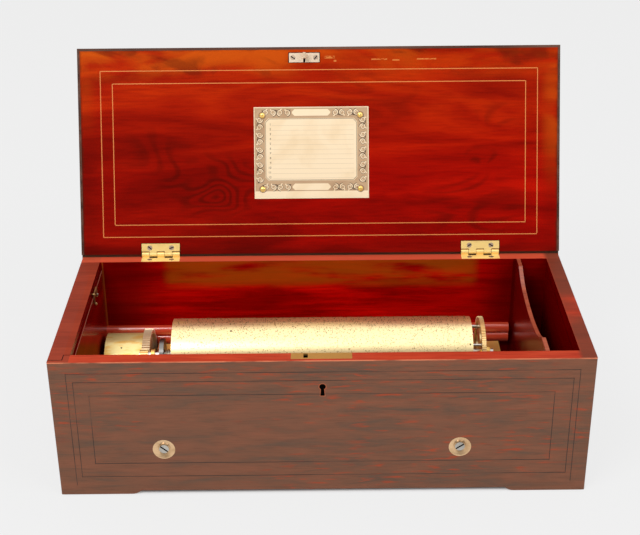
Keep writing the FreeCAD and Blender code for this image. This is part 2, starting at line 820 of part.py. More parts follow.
def build_lid_hinges():
    """Butt hinges with three case knuckles and two lid knuckles, let in flush."""
    down = Vector(0, 0, -1)
    up = Vector(0, 0, 1)
    case_screws = []
    lid_screws = []
    case_leaves = []
    lid_leaves = []
    pins = []
    knuckle = hinge_width / hinge_knuckles
    for x in lid_hinge_sites():
        half = hinge_width / 2
        leaf_front = hinge_y - hinge_leaf_depth
        leaf_rear = hinge_y - hinge_knuckle_radius - knuckle_notch
        case_low = case_height - hinge_leaf_thickness
        lid_high = lid_bottom + hinge_leaf_thickness
        case_parts = [block(x - half, x + half, leaf_front, leaf_rear, case_low, case_height)]
        lid_parts = [block(x - half, x + half, leaf_front, leaf_rear, lid_bottom, lid_high)]
        for index in range(hinge_knuckles):
            x0 = x - half + index * knuckle + knuckle_gap / 2
            x1 = x0 + knuckle - knuckle_gap
            ring = rod_x(x0, x1, hinge_y, hinge_z, hinge_knuckle_radius)
            if index % 2 == 0:
                plate = block(x0, x1, leaf_rear, hinge_y, case_low, case_height)
                web = block(x0, x1, hinge_y - hinge_web, hinge_y, case_low, hinge_z)
                case_parts += [ring, plate, web]
            else:
                web = block(x0, x1, leaf_rear, hinge_y, lid_bottom, lid_high)
                lid_parts += [ring, web]
        bore = rod_x(x - half - 1, x + half + 1, hinge_y, hinge_z, hinge_pin_radius + pin_clearance)
        low_sites = hinge_screw_sites(x, case_height)
        high_sites = hinge_screw_sites(x, lid_bottom)
        low = blanks_at(low_sites, down)
        high = blanks_at(high_sites, up)
        case_screws += slotted(low, low_sites, down)
        lid_screws += slotted(high, high_sites, up)
        pins.append(rod_x(x - half, x + half, hinge_y, hinge_z, hinge_pin_radius))
        case_leaves.append(without(joined(case_parts), [bore] + low))
        lid_leaves.append(without(joined(lid_parts), [bore] + high))
    pieces["lid_hinge_case_leaves"] = group(case_leaves)
    pieces["lid_hinge_lid_leaves"] = opened(group(lid_leaves))
    pieces["case_leaf_screws"] = group(case_screws)
    catch_sites = catch_screw_sites()
    lid_screws += slotted(blanks_at(catch_sites, up), catch_sites, up)
    pieces["lid_screws"] = opened(group(lid_screws))
    return pins


def build_lock():
    """A box lock let into the front: selvedge, case, sliding bolt and key pin."""
    y0 = lock_front
    top = case_height - selvedge_thickness
    link_y = catch_link_y()
    clear = lock_hole_clearance
    hole = block(catch_centre_x - catch_link_width / 2 - clear,
                 catch_centre_x + catch_link_width / 2 + clear,
                 link_y - catch_link_depth / 2 - clear, link_y + catch_link_depth / 2 + clear,
                 case_height - selvedge_thickness - 14.0, case_height + 1)
    selvedge = block(selvedge_left, selvedge_right, selvedge_front, front_wall, top, case_height)
    selvedge = selvedge.cut(hole)
    left = selvedge_left + lock_inset
    right = selvedge_right - lock_inset
    body = block(left, right, y0, front_wall, top - lock_case_height, top)
    eye_low = lid_bottom - catch_link_length + 2.0
    bolt_z0 = eye_low + 0.3
    bolt_z1 = bolt_z0 + 3.0
    bolt_left = catch_centre_x + bolt_travel - bolt_grip
    bolt_right = bolt_left + bolt_length
    half_nose = catch_link_depth / 4 - 0.4
    nose = block(bolt_left, bolt_right, link_y - half_nose, link_y + half_nose, bolt_z0, bolt_z1)
    tail = block(bolt_right - 16.0, bolt_right, link_y - half_nose, link_y + half_nose,
                 bolt_z0 - bolt_height, bolt_z0)
    bolt = joined([nose, tail])
    room = block(left + lock_wall, right - lock_wall, y0 + lock_wall, front_wall - lock_wall,
                 top - lock_case_height + lock_wall, top - lock_wall)
    key_z = case_height - keyhole_from_rim
    key_way = rod_y(0, y0 - 1, y0 + lock_wall + 1, key_z, keyhole_radius)
    key_pin = rod_y(0, 2.0, front_wall - lock_wall, key_z, key_pin_radius)
    body = without(body, [room, hole, key_way])
    pieces["lock_body"] = joined([selvedge, body, key_pin])
    pieces["lock_bolt"] = bolt


# ---------------------------------------------------------------- movement
def chord_half(radius, drop):
    return math.sqrt(max(radius ** 2 - drop ** 2, 1.0))


def build_bed():
    """The brass bedplate, with windows for the cylinder and the barrel, on wooden bearers."""
    front = front_wall + wood_gap
    plate = block(bed_left, bed_right, front, bed_rear, bed_bottom, bed_top)
    dip = chord_half(cylinder_radius + 2.0, cylinder_z - bed_top)
    window = block(cylinder_left - 8.0, wheel_right + 3.0, cylinder_y - dip, cylinder_y + dip,
                   bed_bottom - 1, bed_top + 1)
    bay = block(bed_left - 1, bearing_plate_right, bay_front, bed_rear + 1,
                bed_bottom - 1, bed_top + 1)
    plate = without(plate, [window, bay])
    for x in fixing_x:
        plate = plate.cut(rod_y(x, front - 1, fixing_length + past, fixing_height,
                                fixing_shank_radius + bore_gap))
    pieces["bedplate"] = plate
    bearer_left = bearing_plate_right + bearer_from_plate
    bearer_right = bed_right - bearer_from_bed_end
    top = bed_bottom
    bearers = [block(bearer_left, bearer_right, front_wall, front_wall + bearer_depth,
                     top - bearer_height, top),
               block(bearer_left, bearer_right, back_inner - bearer_depth, back_inner,
                     top - bearer_height, top)]
    pieces["bed_bearers"] = group(bearers)
    washers = []
    screws = []
    for x, turn in zip(fixing_x, fixing_slot_turns):
        outer = Part.makeCone(washer_radius, fixing_head_radius + 1.5, washer_dish,
                              Vector(x, 0, fixing_height), Vector(0, 1, 0))
        inner = Part.makeCone(washer_radius - washer_thickness, fixing_head_radius + 0.6,
                              washer_dish - washer_thickness, Vector(x, 0, fixing_height),
                              Vector(0, 1, 0))
        hole = rod_y(x, -1, washer_dish + 1, fixing_height, fixing_shank_radius + 0.1)
        washers.append(without(outer, [inner, hole]))
        seat = washer_dish - washer_thickness
        head = rod_y(x, seat - 1.6, seat, fixing_height, fixing_head_radius)
        shank = rod_y(x, seat, fixing_length, fixing_height, fixing_shank_radius)
        slot = slot_tool(Vector(x, seat - 1.6, fixing_height), Vector(0, 1, 0), turn,
                         fixing_head_radius)
        screws.append(joined([head, shank]).cut(slot))
    pieces["fixing_washers"] = group(washers)
    pieces["fixing_screws"] = group(screws)


def build_cylinder():
    y, z = cylinder_centre
    tube = rod_x(cylinder_left, cylinder_right, y, z, cylinder_radius)
    bore = rod_x(cylinder_left - 1, cylinder_right + 1, y, z, cylinder_radius - cylinder_wall)
    pieces["cylinder_tube"] = tube.cut(bore)
    inner = cylinder_radius - cylinder_wall
    shaft = arbor_radius + bore_gap
    holes = [rod_x(cylinder_left - 9, cylinder_right + 9, y, z, shaft)]
    pin_holes = []
    for angle in drive_pin_angles():
        py, pz = around(cylinder_centre, drive_pin_circle, angle)
        pin_holes.append(rod_x(cylinder_right - 9, cylinder_right + 9, py, pz,
                               drive_pin_radius + 0.05))
    left_cap = rod_x(cylinder_left, cylinder_left + cap_thickness, y, z, inner)
    left_face = cylinder_left + cap_thickness
    right_face = cylinder_right - cap_thickness
    left_boss = rod_x(left_face, left_face + cap_boss_length, y, z, cap_boss_radius)
    right_cap = rod_x(right_face, cylinder_right, y, z, inner)
    right_boss = rod_x(right_face - cap_boss_length, right_face, y, z, cap_boss_radius)
    follower_y, follower_z = around(cylinder_centre, snail_circle + snail_radius * 0.75,
                                    snail_angle)
    follower = rod_x(cylinder_right - 1.0, follower_tip(), follower_y, follower_z, 1.0)
    pieces["cylinder_cap_left"] = without(joined([left_cap, left_boss]), holes)
    right_cap = without(joined([right_cap, right_boss]), holes + pin_holes)
    pieces["cylinder_cap_right"] = joined([right_cap, follower])


def drive_pin_angles():
    return [45.0 + 90.0 * index for index in range(4)]


snail_angle = 180.0
snail_circle = 18.5
snail_radius = 10.5
star_radius = 12.3
star_thickness = 1.4
snail_base = 1.0
follower_gap = 0.45
snail_stud_radius = 1.5


def snail_centre():
    return around(cylinder_centre, snail_circle, snail_angle)


def snail_right():
    return wheel_web_left() - 0.3


def wheel_web_left():
    return wheel_right - 0.6 - wheel_web


def snail_top():
    """The height of the tallest step above the star."""
    return snail_base + tune_step * (tune_count - 1)


def follower_tip():
    """The follower stands just clear of the tallest step of the snail."""
    return snail_right() - star_thickness - snail_top() - follower_gap


def build_snail():
    """The twelve-point star and the stair of twelve steps that shifts the cylinder."""
    centre = snail_centre()
    right = snail_right()
    left = right - star_thickness
    points = []
    for index in range(tune_count):
        angle = 360.0 * index / tune_count
        points.append(around(centre, star_radius, angle))
        points.append(around(centre, star_radius * 0.8, angle + 180.0 / tune_count))
    parts = [prism_x(points, left, right)]
    step_angle = 360.0 / tune_count
    for index in range(tune_count):
        height = snail_top() - tune_step * index
        first = snail_angle - step_angle / 2 + index * step_angle
        wedge = prism_x([centre, around(centre, snail_radius * 1.2, first),
                         around(centre, snail_radius * 1.2, first + step_angle)],
                        left - height, left)
        disc = rod_x(left - height, left, centre[0], centre[1], snail_radius)
        parts.append(wedge.common(disc))
    stack = joined(parts)
    pieces["change_snail"] = stack.cut(rod_x(left - 9, right + 1, centre[0], centre[1],
                                             snail_stud_radius + pin_clearance))


def build_arbor():
    """The arbor with its pinion, the locking disc, the toothed wheel and the drive pins."""
    y, z = cylinder_centre
    pieces["cylinder_arbor"] = rod_x(arbor_left, arbor_right, y, z, arbor_radius)
    bore = rod_x(arbor_left - 1, arbor_right + 1, y, z, arbor_radius)
    toward = math.degrees(math.atan2(barrel_z - cylinder_z, barrel_y - cylinder_y))
    pinion = gear_x(pinion_left, pinion_right, cylinder_centre, pinion_teeth, great_module,
                    toward, 0.38)
    pieces["arbor_pinion"] = pinion.cut(bore)

    disc = rod_x(stop_disc_left, stop_disc_right, y, z, stop_disc_radius)
    notch_y, notch_z = around(cylinder_centre, stop_disc_radius, 250.0)
    notch = rod_x(stop_disc_left - 1, stop_disc_right + 1, notch_y, notch_z, 2.6)
    pieces["stop_disc"] = without(disc, [bore, notch])

    blank = gear_x(wheel_left, wheel_right, cylinder_centre, wheel_teeth, wheel_module,
                   governor_angle, 0.42)
    inner = wheel_teeth * wheel_module / 2 - 1.1 * wheel_module - wheel_rim
    hollow_left = rod_x(wheel_left - 1, wheel_web_left(), y, z, inner)
    hollow_right = rod_x(wheel_web_left() + wheel_web, wheel_right + 1, y, z, inner)
    hub = rod_x(wheel_web_left(), wheel_right, y, z, wheel_hub_radius)
    wheel = joined([without(blank, [hollow_left, hollow_right]), hub])
    wheel = wheel.cut(bore)
    window_angles = [90.0 * index for index in range(wheel_arms) if index != 2]
    for angle in window_angles:
        wy, wz = around(cylinder_centre, (inner + wheel_hub_radius) / 2 + 1.5, angle)
        wheel = wheel.cut(rod_x(wheel_left - past, wheel_right + past, wy, wz,
                                wheel_window_radius))
    pins = []
    for angle in drive_pin_angles():
        py, pz = around(cylinder_centre, drive_pin_circle, angle)
        pin = rod_x(cylinder_right - cap_thickness - 6.0, wheel_web_left(), py, pz,
                    drive_pin_radius)
        collar = rod_x(wheel_web_left() - 2.2, wheel_web_left(), py, pz, drive_pin_radius + 0.5)
        pins.append(joined([pin, collar]))
    stud = rod_x(snail_right() - star_thickness - snail_top() - 0.2, wheel_web_left() + 0.5,
                 snail_centre()[0], snail_centre()[1], snail_stud_radius)
    pieces["right_wheel"] = joined([wheel, stud])
    pieces["drive_pins"] = group(pins)
    build_return_spring()


def build_return_spring():
    """The open coil between the locking disc and the cylinder."""
    y, z = cylinder_centre
    x0 = stop_disc_right + 0.2
    x1 = cylinder_left - 0.2
    turns = 4.0
    pitch = (x1 - x0 - spring_wire * 2) / turns
    helix = Part.makeHelix(pitch, pitch * turns, spring_radius - spring_wire)
    circle = Part.Wire(Part.makeCircle(spring_wire, Vector(spring_radius - spring_wire, 0, 0),
                                       Vector(0, 1, 0)))
    coil = Part.Wire(helix.Edges).makePipeShell([circle], True, True)
    coil.rotate(Vector(0, 0, 0), Vector(0, 1, 0), 90)
    coil.translate(Vector(x0 + spring_wire, y, z))
    pieces["return_spring"] = coil


def build_barrel():
    """The spring barrel with its great wheel, cover, mainspring and winding arbor."""
    centre = (barrel_y, barrel_z)
    left = barrel_left
    right = pinion_left + 0.3
    drum = rod_x(left, right, barrel_y, barrel_z, barrel_radius)
    room = rod_x(left - 1, right - 1.5, barrel_y, barrel_z, barrel_radius - barrel_wall)
    shaft = rod_x(left - 20, pinion_right + 20, barrel_y, barrel_z, winding_radius + 0.05)
    drum = without(drum, [room, shaft])
    cover = rod_x(left, left + 2.0, barrel_y, barrel_z, barrel_radius - barrel_wall)
    drum = joined([drum, cover.cut(shaft)])
    toward = math.degrees(math.atan2(cylinder_z - barrel_z, cylinder_y - barrel_y))
    great = gear_x(right, pinion_right + 0.2, centre, great_teeth, great_module,
                   toward + 180.0 / great_teeth, 0.44)
    recess = rod_x(pinion_right - 3.0, pinion_right + 1, barrel_y, barrel_z,
                   great_pitch - 4.5)
    boss = rod_x(pinion_right - 3.1, pinion_right + 0.2, barrel_y, barrel_z, ratchet_radius)
    great = joined([great.cut(recess), boss])
    pieces["spring_barrel"] = joined([drum, great.cut(shaft)])

    coil_outer = barrel_radius - barrel_wall - 1.5
    coil_inner = winding_radius + 7.0
    spring = rod_x(left + 3.5, right - 3.0, barrel_y, barrel_z, coil_outer)
    core = rod_x(left, right, barrel_y, barrel_z, coil_inner)
    pieces["mainspring"] = spring.cut(core)

    square_left = end_panel_left - winding_reach
    arbor = rod_x(end_panel_left + 1.5, bearing_plate_right - 0.3, barrel_y, barrel_z, winding_radius)
    half = winding_square / 2
    square = block(square_left, end_panel_left + 1.5, barrel_y - half, barrel_y + half,
                   barrel_z - half, barrel_z + half)
    core_hub = rod_x(left + 3.5, right - 3.0, barrel_y, barrel_z, coil_inner - 0.3)
    teeth = []
    for index in range(ratchet_teeth):
        angle = 360.0 * index / ratchet_teeth
        teeth.append(around(centre, ratchet_radius, angle))
        teeth.append(around(centre, ratchet_radius - 1.6, angle + 1.5))
    ratchet = prism_x(teeth, ratchet_left, ratchet_right)
    pieces["winding_arbor"] = joined([arbor, square, core_hub, ratchet])


click_angle = 190.0
click_pivot_radius = 2.0


def click_pivot():
    return around((barrel_y, barrel_z), ratchet_radius + 12.0, click_angle)


def build_brackets():
    """The upright plates and cocks that carry the arbors, and the click on the ratchet."""
    centre = (barrel_y, barrel_z)
    tab = arbor_radius + 3.0
    front = bay_front + 0.2
    outline = [(front, bed_bottom - 3.0), (front, bed_top + 3.0), (cylinder_y - tab, bed_top + 3.0),
               (cylinder_y - tab, cylinder_z), [(cylinder_y, cylinder_z + tab),
               (cylinder_y + tab, cylinder_z)], (cylinder_y + tab, bed_top + 3.0),
               (bed_rear, bed_top + 3.0), (bed_rear, bed_bottom - 3.0),
               (barrel_y + 12, barrel_z - 9.0), [(barrel_y, barrel_z - 13.0),
               (barrel_y - 12, barrel_z - 12.0)], (click_pivot()[0], click_pivot()[1] - 5.0)]
    plate = prism_x(outline, bearing_plate_left, bearing_plate_right)
    before = bearing_plate_left - past
    beyond = bearing_plate_right + past
    bores = [rod_x(before, beyond, cylinder_y, cylinder_z, arbor_radius + bore_gap),
             rod_x(before, beyond, barrel_y, barrel_z, winding_radius + bore_gap)]
    py, pz = click_pivot()
    stud = rod_x(ratchet_left, bearing_plate_right, py, pz, click_pivot_radius)
    pieces["left_bearing_plate"] = joined([without(plate, bores), stud])
    build_click(centre, py, pz)

    outer_right = barrel_left - bracket_to_barrel
    outer_left = outer_right - bracket_thickness
    hang = [(barrel_y - great_radius - 20.0, bed_bottom), (barrel_y - great_radius - 20.0,
            bed_bottom - 8.0), (barrel_y - 10, barrel_z - 9.0), [(barrel_y + 9, barrel_z),
            (barrel_y - 10, barrel_z + 9.0)], (barrel_y - great_radius - 6.0, bed_bottom)]
    outer = prism_x(hang, outer_left, outer_right)
    foot = block(outer_left, bed_left + 14.0, barrel_y - great_radius - 20.0,
                 barrel_y - great_radius - 6.0, bed_bottom - 3.0, bed_bottom)
    outer = joined([outer, foot])
    pieces["barrel_bracket"] = outer.cut(rod_x(outer_left - 1, outer_right + 1, barrel_y,
                                               barrel_z, winding_radius + 0.05))

    profile = [(cylinder_y - 14, bed_top), (cylinder_y - tab, cylinder_z - 8),
               (cylinder_y - tab, cylinder_z), [(cylinder_y, cylinder_z + tab),
               (cylinder_y + tab, cylinder_z)], (cylinder_y + tab, cylinder_z - 8),
               (cylinder_y + 14, bed_top)]
    cock = prism_x(profile, cock_left, cock_right)
    foot = block(cock_left, cock_right + 9.0, cylinder_y - 14, cylinder_y + 14, bed_top,
                 bed_top + 3.0)
    cock = joined([cock, foot])
    shaft = rod_x(cock_left - 1, cock_right + 1, cylinder_y, cylinder_z, arbor_radius + 0.05)
    screw_x = cock_right + 5.0
    cock_screws = []
    for y in (cylinder_y - 9, cylinder_y + 9):
        head = rod_z(screw_x, y, bed_top + 3.0, bed_top + 5.0, 3.0)
        cock_screws.append(head)
    pieces["right_cock"] = cock.cut(shaft)
    return cock_screws


def build_click(centre, py, pz):
    """The click rides over the ratchet's teeth, pressed by a leaf spring."""
    inward = math.degrees(math.atan2(centre[1] - pz, centre[0] - py))
    nose = around(centre, ratchet_radius + 0.35, click_angle - 38.0)
    side = around((py, pz), 4.2, inward + 90.0)
    other = around((py, pz), 4.2, inward - 90.0)
    back = around((py, pz), 4.6, inward + 180.0)
    body = prism_x([side, nose, around(nose, 2.0, click_angle + 60.0), other,
                    [back, side]], ratchet_left, ratchet_right)
    body = body.cut(rod_x(ratchet_left - past, ratchet_right + past, py, pz,
                          click_pivot_radius + pin_clearance))
    pieces["click"] = body


# ---------------------------------------------------------------- comb
def build_comb():
    """A steel comb whose teeth shorten from bass to treble, on its brass base."""
    count = comb_teeth
    pitch = (comb_right - comb_left) / count
    bass_root = comb_back + comb_land
    treble_root = tip_y - comb_treble_length

    def root_at(x):
        share = (x - comb_left) / (comb_right - comb_left)
        return bass_root + (treble_root - bass_root) * share

    outline = [(comb_left, comb_back), (comb_left, tip_y)]
    for index in range(1, count):
        x = comb_left + index * pitch
        outline += [(x - comb_slot / 2, tip_y), (x - comb_slot / 2, root_at(x)),
                    (x + comb_slot / 2, root_at(x)), (x + comb_slot / 2, tip_y)]
    outline += [(comb_right, tip_y), (comb_right, comb_back)]
    comb = prism_z(outline, comb_bottom, comb_bottom + comb_thickness)
    margin = 3.0
    base_points = [(comb_left, comb_back - 2.0), (comb_left, bass_root - margin),
                   (comb_right, treble_root - margin), (comb_right, comb_back - 2.0)]
    base = prism_z(base_points, bed_top, comb_bottom)
    screws = []
    span = (comb_right - comb_left) / comb_screws
    for index in range(comb_screws):
        x = comb_left + span * (index + 0.5)
        y = (comb_back + bass_root - margin) / 2 + 1.0
        top = comb_bottom + comb_thickness
        head = rod_z(x, y, top, top + 2.4, 3.4)
        shank = rod_z(x, y, top - comb_screw_length, top, comb_screw_radius)
        screws.append(joined([head, shank]))
        hole = rod_z(x, y, top - comb_screw_length, top + past, comb_screw_radius)
        comb = comb.cut(hole)
        base = base.cut(hole)
    pieces["comb"] = comb
    pieces["comb_base"] = base
    weights = []
    for index in range(comb_teeth // 3):
        x0 = comb_left + index * pitch + comb_slot / 2
        x1 = comb_left + (index + 1) * pitch - comb_slot / 2
        length = 14.0 - 0.35 * index
        weights.append(block(x0, x1, tip_y - 4.0 - length, tip_y - 4.0, comb_bottom - 6.5,
                             comb_bottom))
    pieces["tuning_weights"] = group(weights)
    return screws


# ---------------------------------------------------------------- governor
governor_angle = 188.0
first_teeth = 12
first_wheel_teeth = 60
second_teeth = 10
worm_wheel_teeth = 30
fine_module = 0.5
frame_before_wheel = 8.1
frame_plate = 2.5
first_wheel_from_great = 9.0
worm_from_great = 17.0
worm_radius = 2.4
pivot_radius = 1.2
fly_reach = 6.6
fly_gap = 0.7
frame_left = wheel_left - frame_before_wheel
first_wheel_x = wheel_right + first_wheel_from_great
worm_x = wheel_right + worm_from_great
frame_right_inner = worm_x + fly_reach + fly_gap


def governor_places():
    wheel_pitch = wheel_teeth * wheel_module / 2
    reach = wheel_pitch + first_teeth * wheel_module / 2 + mesh_clearance
    first = around(cylinder_centre, reach, governor_angle)
    step = (first_wheel_teeth + second_teeth) * fine_module / 2 + mesh_clearance
    second = (first[0] - step, first[1])
    return first, second


def build_governor():
    """The train that holds the speed: two arbors, an endless screw and its fly."""
    first, second = governor_places()
    thin = frame_left + frame_plate
    shaft_ends = (frame_left, frame_right_inner + frame_plate)
    pinion = gear_x(wheel_left - 0.5, wheel_right + 0.5, first, first_teeth, wheel_module,
                    governor_angle + 180.0 + 180.0 / first_teeth, 0.36)
    wheel = gear_x(first_wheel_x, first_wheel_x + 2.0, first, first_wheel_teeth, fine_module,
                   180.0, 0.42)
    arbor = rod_x(shaft_ends[0], shaft_ends[1], first[0], first[1], pivot_radius)
    body = rod_x(thin + 0.4, frame_right_inner - 0.4, first[0], first[1], 2.0)
    pieces["governor_first_arbor"] = joined([arbor, body, pinion, wheel])

    small = gear_x(first_wheel_x - 0.5, first_wheel_x + 2.5, second, second_teeth, fine_module,
                   180.0 / second_teeth, 0.36)
    worm_pitch = worm_wheel_teeth * fine_module / 2
    worm_wheel = gear_x(worm_x - 1.2, worm_x + 1.2, second, worm_wheel_teeth, fine_module, 180.0,
                        0.4)
    arbor = rod_x(shaft_ends[0], shaft_ends[1], second[0], second[1], pivot_radius)
    body = rod_x(thin + 0.4, frame_right_inner - 0.4, second[0], second[1], 1.6)
    pieces["governor_second_arbor"] = joined([arbor, body, small, worm_wheel])

    worm_y = second[0] - worm_pitch - worm_radius - 0.6
    low = bed_top + 3.5
    high = second[1] + 22.0
    worm = rod_z(worm_x, worm_y, second[1] - 7.0, second[1] + 7.0, worm_radius)
    spindle = rod_z(worm_x, worm_y, low, high, pivot_radius)
    wing_low = second[1] + 9.0
    wing_top = high - 3.0
    wings = block(worm_x - fly_reach, worm_x + fly_reach, worm_y - 0.4, worm_y + 0.4, wing_low,
                  wing_top)
    hub = rod_z(worm_x, worm_y, wing_low, wing_top, 2.2)
    pieces["endless_screw_and_fly"] = joined([spindle, worm, wings, hub])

    rear = first[0] + 2.6
    front = worm_y - 5.0
    top = first[1] + 4.0
    upright = [(front, bed_top), (rear, bed_top), (rear, top), (front, top)]
    frame_outer = frame_right_inner + frame_plate
    left_plate = prism_x(upright, frame_left, thin)
    base_left = wheel_right + 4.0
    base = block(base_left, frame_outer, front, rear, bed_top, bed_top + 3.0)
    right_plate = prism_x(upright, frame_right_inner, frame_outer)
    strap = block(frame_left, frame_outer, front, front + 4.0, bed_top, bed_top + 3.0)
    shared = (rod_x(frame_left - 1, frame_outer + 1, first[0], first[1], pivot_radius + 0.05),
              rod_x(frame_left - 1, frame_outer + 1, second[0], second[1], pivot_radius + 0.05))
    foot_hole = rod_z(worm_x, worm_y, low - 0.2, low + 2, pivot_radius + 0.05)
    frame = without(joined([left_plate, base, right_plate, strap]), list(shared) + [foot_hole])
    cock_z = high - 2.0
    cock = block(worm_x - 3.0, frame_outer, worm_y - 3.0, worm_y + 3.0, cock_z, high + 1.0)
    leg = block(frame_right_inner, frame_outer, worm_y - 3.0, worm_y + 3.0, top, high + 1.0)
    cock = joined([cock, leg]).cut(rod_z(worm_x, worm_y, cock_z - 1, high, pivot_radius + 0.05))
    pieces["governor_frame"] = joined([frame, cock])


# ---------------------------------------------------------------- control levers
def build_levers():
    """Start, change and instant-stop levers on their studs at the left of the bedplate."""
    names = ("start_lever", "change_lever", "instant_stop_lever")
    z0 = lever_z
    z1 = z0 + lever_thickness
    studs = []
    for index, (name, y) in enumerate(zip(names, lever_rows())):
        half = lever_width / 2
        tail = lever_pivot_x + lever_tail + lever_tail_step * (lever_count - 1 - index)
        bar = block(end_panel_left - winding_reach, tail, y - half, y + half, z0, z1)
        finger = rod_z(end_panel_left - winding_reach + half, y, z0 - 0.8, z1 + 0.8, half)
        hole = rod_z(lever_pivot_x, y, z0 - 1, z1 + 1, 2.0 + pin_clearance)
        pieces[name] = joined([bar, finger]).cut(hole)
        stud = rod_z(lever_pivot_x, y, bed_top, z1 + 0.2, 2.0)
        shoulder = rod_z(lever_pivot_x, y, bed_top, z0 - 0.2, 4.0)
        head = rod_z(lever_pivot_x, y, z1 + 0.2, z1 + 1.6, 3.6)
        studs.append(joined([stud, shoulder, head]))
    pieces["lever_studs"] = group(studs)


def main():
    build_case()
    flap_pins = build_left_end()
    build_inside()
    build_lid()
    pieces["hinge_pins"] = group(flap_pins + build_lid_hinges())
    build_lock()
    build_bed()
    build_cylinder()
    build_snail()
    build_arbor()
    build_barrel()
    pieces["movement_screws"] = group(build_brackets() + build_comb())
    build_governor()
    build_levers()
    rear = max(piece.BoundBox.YMax for piece in pieces.values())
    forward = Vector(0, -rear / 2, 0)
    print("moved forward by", rear / 2)
    for name in sorted(pieces):
        shape = pieces[name].copy()
        shape.translate(forward)
        shape.exportStep("parts/" + name + ".step")
        state = "ok" if shape.isValid() else "NOT VALID"
        print(name, len(shape.Solids), "solids", round(shape.Volume, 1), state)


main()
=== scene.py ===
"""The looks of the cylinder musical box: materials, inlay, tune card, cylinder pins and studio.

Lengths are written in millimetres in the case's own frame: X from the middle of the case, Y back
from the front face, Z up from the table.  place() turns them into the frame's metres.
"""
import random
from math import cos, pi, radians, sin

import bpy
from mathutils import Euler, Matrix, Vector

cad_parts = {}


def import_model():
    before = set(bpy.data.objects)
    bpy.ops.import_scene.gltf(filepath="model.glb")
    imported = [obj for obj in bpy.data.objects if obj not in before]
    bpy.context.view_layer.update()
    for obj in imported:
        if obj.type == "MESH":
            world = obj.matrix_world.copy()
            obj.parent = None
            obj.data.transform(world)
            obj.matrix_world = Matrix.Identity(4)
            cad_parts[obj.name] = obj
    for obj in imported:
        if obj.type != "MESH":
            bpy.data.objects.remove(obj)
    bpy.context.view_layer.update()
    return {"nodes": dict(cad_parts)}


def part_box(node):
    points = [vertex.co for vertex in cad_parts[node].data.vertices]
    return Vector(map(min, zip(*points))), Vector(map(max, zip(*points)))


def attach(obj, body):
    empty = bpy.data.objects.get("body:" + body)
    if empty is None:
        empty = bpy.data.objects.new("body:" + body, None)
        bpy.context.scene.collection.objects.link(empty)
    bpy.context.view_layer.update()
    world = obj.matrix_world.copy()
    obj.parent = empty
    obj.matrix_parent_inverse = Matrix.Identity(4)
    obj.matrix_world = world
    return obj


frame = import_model()

MM = 0.001
FRONT_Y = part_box("front_panel")[0][1]
CASE_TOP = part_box("front_panel")[1][2] / MM
HINGE_Y = 236.0
HINGE_Z = CASE_TOP + 3.0
LID_OPEN = radians(112.4)
LID_FACE_DROP = 2.5
CYLINDER_Y = 142.0
CYLINDER_Z = 85.1
CYLINDER_RADIUS = 40.0
CYLINDER_ENDS = (-164.5, 165.5)
LID_THICKNESS = 15.0
INSIDE_X = (-260.4, 259.7)
INSIDE_Y = (15.1, 222.5)
PARTITION_X = (225.3, 229.4)
LOCK_TOP = CASE_TOP - 2.1
KEYHOLE = (0.0, CASE_TOP - 30.6)
WHEEL_LEFT = -202.6
DRUM_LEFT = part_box("spring_barrel")[0][0] / MM
END_BOARD_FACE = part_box("inner_end_panel")[1][0] / MM


def place(x, y, z):
    """A point of the case, in the frame's metres."""
    return Vector((x * MM, y * MM + FRONT_Y, z * MM))


def lid_place(x, s, out=0.0):
    """A point on the open lid's inner face, s from its hinge edge and out from the face."""
    dy = -s
    dz = -LID_FACE_DROP - out
    cos_a = cos(-LID_OPEN)
    sin_a = sin(-LID_OPEN)
    return place(x, HINGE_Y + dy * cos_a - dz * sin_a, HINGE_Z + dy * sin_a + dz * cos_a)


# ---- materials
def rgb(*values):
    """A colour written in 0 to 255 display values, as a shader colour."""
    out = []
    for value in values:
        part = value / 255.0
        out.append(part / 12.92 if part <= 0.04045 else ((part + 0.055) / 1.055) ** 2.4)
    return (*out, 1.0)


def new_material(name, colour, roughness, metallic=0.0, coat=0.0, specular=0.5):
    material = bpy.data.materials.new(name)
    material.use_nodes = True
    inputs = material.node_tree.nodes["Principled BSDF"].inputs
    inputs["Base Color"].default_value = colour
    inputs["Roughness"].default_value = roughness
    inputs["Metallic"].default_value = metallic
    inputs["Coat Weight"].default_value = coat
    inputs["Coat Roughness"].default_value = 0.06
    inputs["Specular IOR Level"].default_value = specular
    return material


